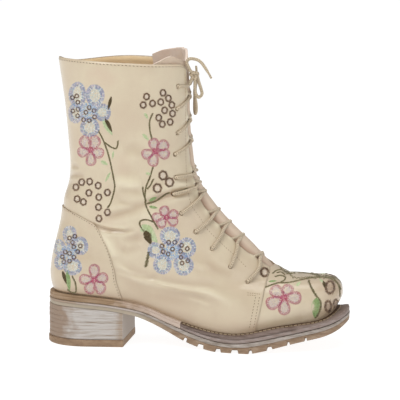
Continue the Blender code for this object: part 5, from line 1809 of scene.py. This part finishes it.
def sew_flower(sewing, flower):
    """Seed stitches in the middle and the petals, then two bands round every petal."""
    turns = np.linspace(0, FULL_TURN, PETAL_STEPS, endpoint=False)
    circle = np.column_stack((np.cos(turns), np.sin(turns)))
    spread = np.mean([math.hypot(petal.x - flower.x, petal.y - flower.y) for petal in flower.petals])
    size = CENTRE_SIZE[flower.thread]
    places = np.array((flower.x, flower.y)) + seeds_in_circle(CENTRE_SEEDS * spread**2 * size) * size * spread
    reach = random.uniform(-SEED_REACH, SEED_REACH, (len(places), 2))
    sewing.add(places - reach, places + reach, *CENTRE_STITCH, SHADES[flower.thread + "_centre"])
    for petal in flower.petals:
        inside = np.array((petal.half_width, petal.half_height)) - flower.band * SEED_INSET
        seeds = seeds_in_circle(PETAL_SEEDS * inside[0] * inside[1])
        places, out = petal_shape(flower, petal, seeds * inside)
        slant = math.atan2(out[1], out[0]) + random.uniform(-SEED_SLANT, SEED_SLANT, len(places))
        reach = SEED_REACH * np.column_stack((np.cos(slant), np.sin(slant)))
        sewing.add(places - reach, places + reach, *SEED_STITCH, SHADES[flower.thread + "_fill"])
    bands = ((RIM_PLACE, SHADES[flower.thread + "_rim"]), (BODY_PLACE, SHADES[flower.thread]))
    for petal in flower.petals:
        outer = PETAL_SPREAD * np.array((petal.half_width, petal.half_height))
        for share, shades in bands:
            line, _ = petal_shape(flower, petal, circle * (outer - flower.band * share))
            closed_band(sewing, line, BAND_SHARE * flower.band, BAND_PITCH, *PETAL_STITCH, shades)


# %% Rings, stems and leaves
RING_SWELL, RING_TALL, RING_PITCH, RING_STEPS = 0.13, 1.05, 0.6, 40
RING_SEEDS, RING_SEED_SPREAD, RING_SEED_REACH = 5, 0.7, np.array((0.5, 0.5))
STEM_PITCH, STEM_LEAN, STEM_UNEVEN = 0.55, 0.7, (0.45, 0.9)
LEAF_START, LEAF_END, LEAF_PITCH, LEAF_POWER, LEAF_LEAN = 0.04, 0.97, 0.5, 0.8, 0.5


def sew_ring(sewing, mark, x, y):
    """A pale middle and a round of stitches, wavy if the mark has lobes."""
    turns = np.linspace(0, FULL_TURN, RING_STEPS, endpoint=False)
    swell = 1 + RING_SWELL * np.cos(mark.lobes * turns + x) * (mark.lobes > 0)
    middle = (mark.outer + mark.inner) / 2
    shape = np.column_stack((mark.stretch * np.cos(turns), RING_TALL * np.sin(turns)))
    count = int(RING_SEEDS * mark.inner**2) + 3
    seeds = random.uniform(-RING_SEED_SPREAD, RING_SEED_SPREAD, (count, 2)) * mark.inner
    places = np.array((x, y)) + seeds * (mark.stretch, RING_TALL)
    sewing.add(places - RING_SEED_REACH, places + RING_SEED_REACH, *RING_SEED, SHADES[mark.fill])
    line = np.array((x, y)) + middle * swell[:, None] * shape
    closed_band(sewing, line, mark.outer - mark.inner, RING_PITCH, *RING_STITCH, SHADES["ring"])


def sew_stem(sewing, stem):
    """Slanting stitches of uneven length along a line."""
    line = curve_through(np.array(stem.line), STEM_PITCH)
    ahead = unit(np.gradient(line, axis=0))
    reach = stem.width / 2 * random.uniform(*STEM_UNEVEN, (len(line), 1))
    aside = np.column_stack((-ahead[:, 1], ahead[:, 0])) * reach + STEM_LEAN * ahead
    sewing.add(line - aside, line + aside, *STEM_STITCH, SHADES["stem"])


def sew_leaf(sewing, leaf):
    """Stitches from the midrib to both edges, leaning back."""
    start, end = np.array(leaf.start, float), np.array(leaf.end, float)
    length = np.linalg.norm(end - start)
    along = (end - start) / length
    aside = np.array((-along[1], along[0]))
    for share in np.arange(LEAF_START, LEAF_END, LEAF_PITCH / length):
        half = leaf.width / 2 * math.sin(math.pi * share) ** LEAF_POWER
        rib = start + (end - start) * share
        for flank in (-1, 1):
            tip = rib + flank * aside * half - along * LEAF_LEAN * half
            sewing.add(rib - LEAF_LEAN * (tip - rib), tip, *LEAF_STITCH[leaf.shade], SHADES[leaf.shade])


# %% Sew the motifs
for kind in (BLUE, PINK):
    sewing = Sewing()
    for flower in FLOWERS:
        if flower.thread == kind:
            sew_flower(sewing, flower)
    sewing.make(f"embroidered_{kind}_flowers")
ring_sewing = Sewing()
for mark in RING_MARKS:
    for x, y in mark.places:
        sew_ring(ring_sewing, mark, x, y)
ring_sewing.make("embroidered_rings")
vine_sewing = Sewing()
for leaf in LEAVES:
    sew_leaf(vine_sewing, leaf)
for stem in STEMS:
    sew_stem(vine_sewing, stem)
vine_sewing.make("embroidered_vines")

# %% [markdown]
# ## Floor and light
# A studio shot on a lit white table: a wide soft light from the upper left, one from above and a weaker one
# from the toe. The table glows a little, so only a faint contact shadow is left.

# %% Floor, lights and world
FLOOR_SIDE = 12.0
FLOOR_GAP = 0.2
AIM = np.array((0.0, 0.0, 0.12))
WORLD_STRENGTH = 0.32
bpy.ops.mesh.primitive_grid_add(x_subdivisions=8, y_subdivisions=8, size=FLOOR_SIDE)
floor = bpy.context.object
floor.name = "studio_floor"
floor.location.z = -FLOOR_GAP * MM
paper, _, _ = new_material(
    "lit_white_acrylic",
    base_color=colour("#8A8A8A"),
    roughness=0.9,
    emission_color=colour("#FFFFFF"),
    emission_strength=0.9,
)
floor.data.materials.append(paper)

Light = namedtuple("Light", "name place size power")
LIGHTS = (
    Light("key_softbox", (-1.1, -1.3, 2.1), 1.2, 26.5),
    Light("top_softbox", (0.1, -0.2, 2.2), 1.6, 16.0),
    Light("front_softbox", (1.7, -1.1, 0.9), 1.3, 5.5),
)
for spot in LIGHTS:
    lamp = bpy.data.objects.new(spot.name, bpy.data.lights.new(spot.name, "AREA"))
    bpy.context.scene.collection.objects.link(lamp)
    lamp.data.size = spot.size
    lamp.data.energy = spot.power
    lamp.location = spot.place
    aim = AIM - np.array(spot.place)
    lamp.rotation_euler = (
        math.atan2(math.hypot(aim[0], aim[1]), -aim[2]), 0.0, math.atan2(aim[0], -aim[1]) + math.pi,
    )
world = bpy.data.worlds.new("white_studio")
bpy.context.scene.world = world
world.use_nodes = True
world.node_tree.nodes["Background"].inputs["Color"].default_value = colour("#FFFFFF")
world.node_tree.nodes["Background"].inputs["Strength"].default_value = WORLD_STRENGTH
bpy.context.scene.view_settings.view_transform = "Standard"
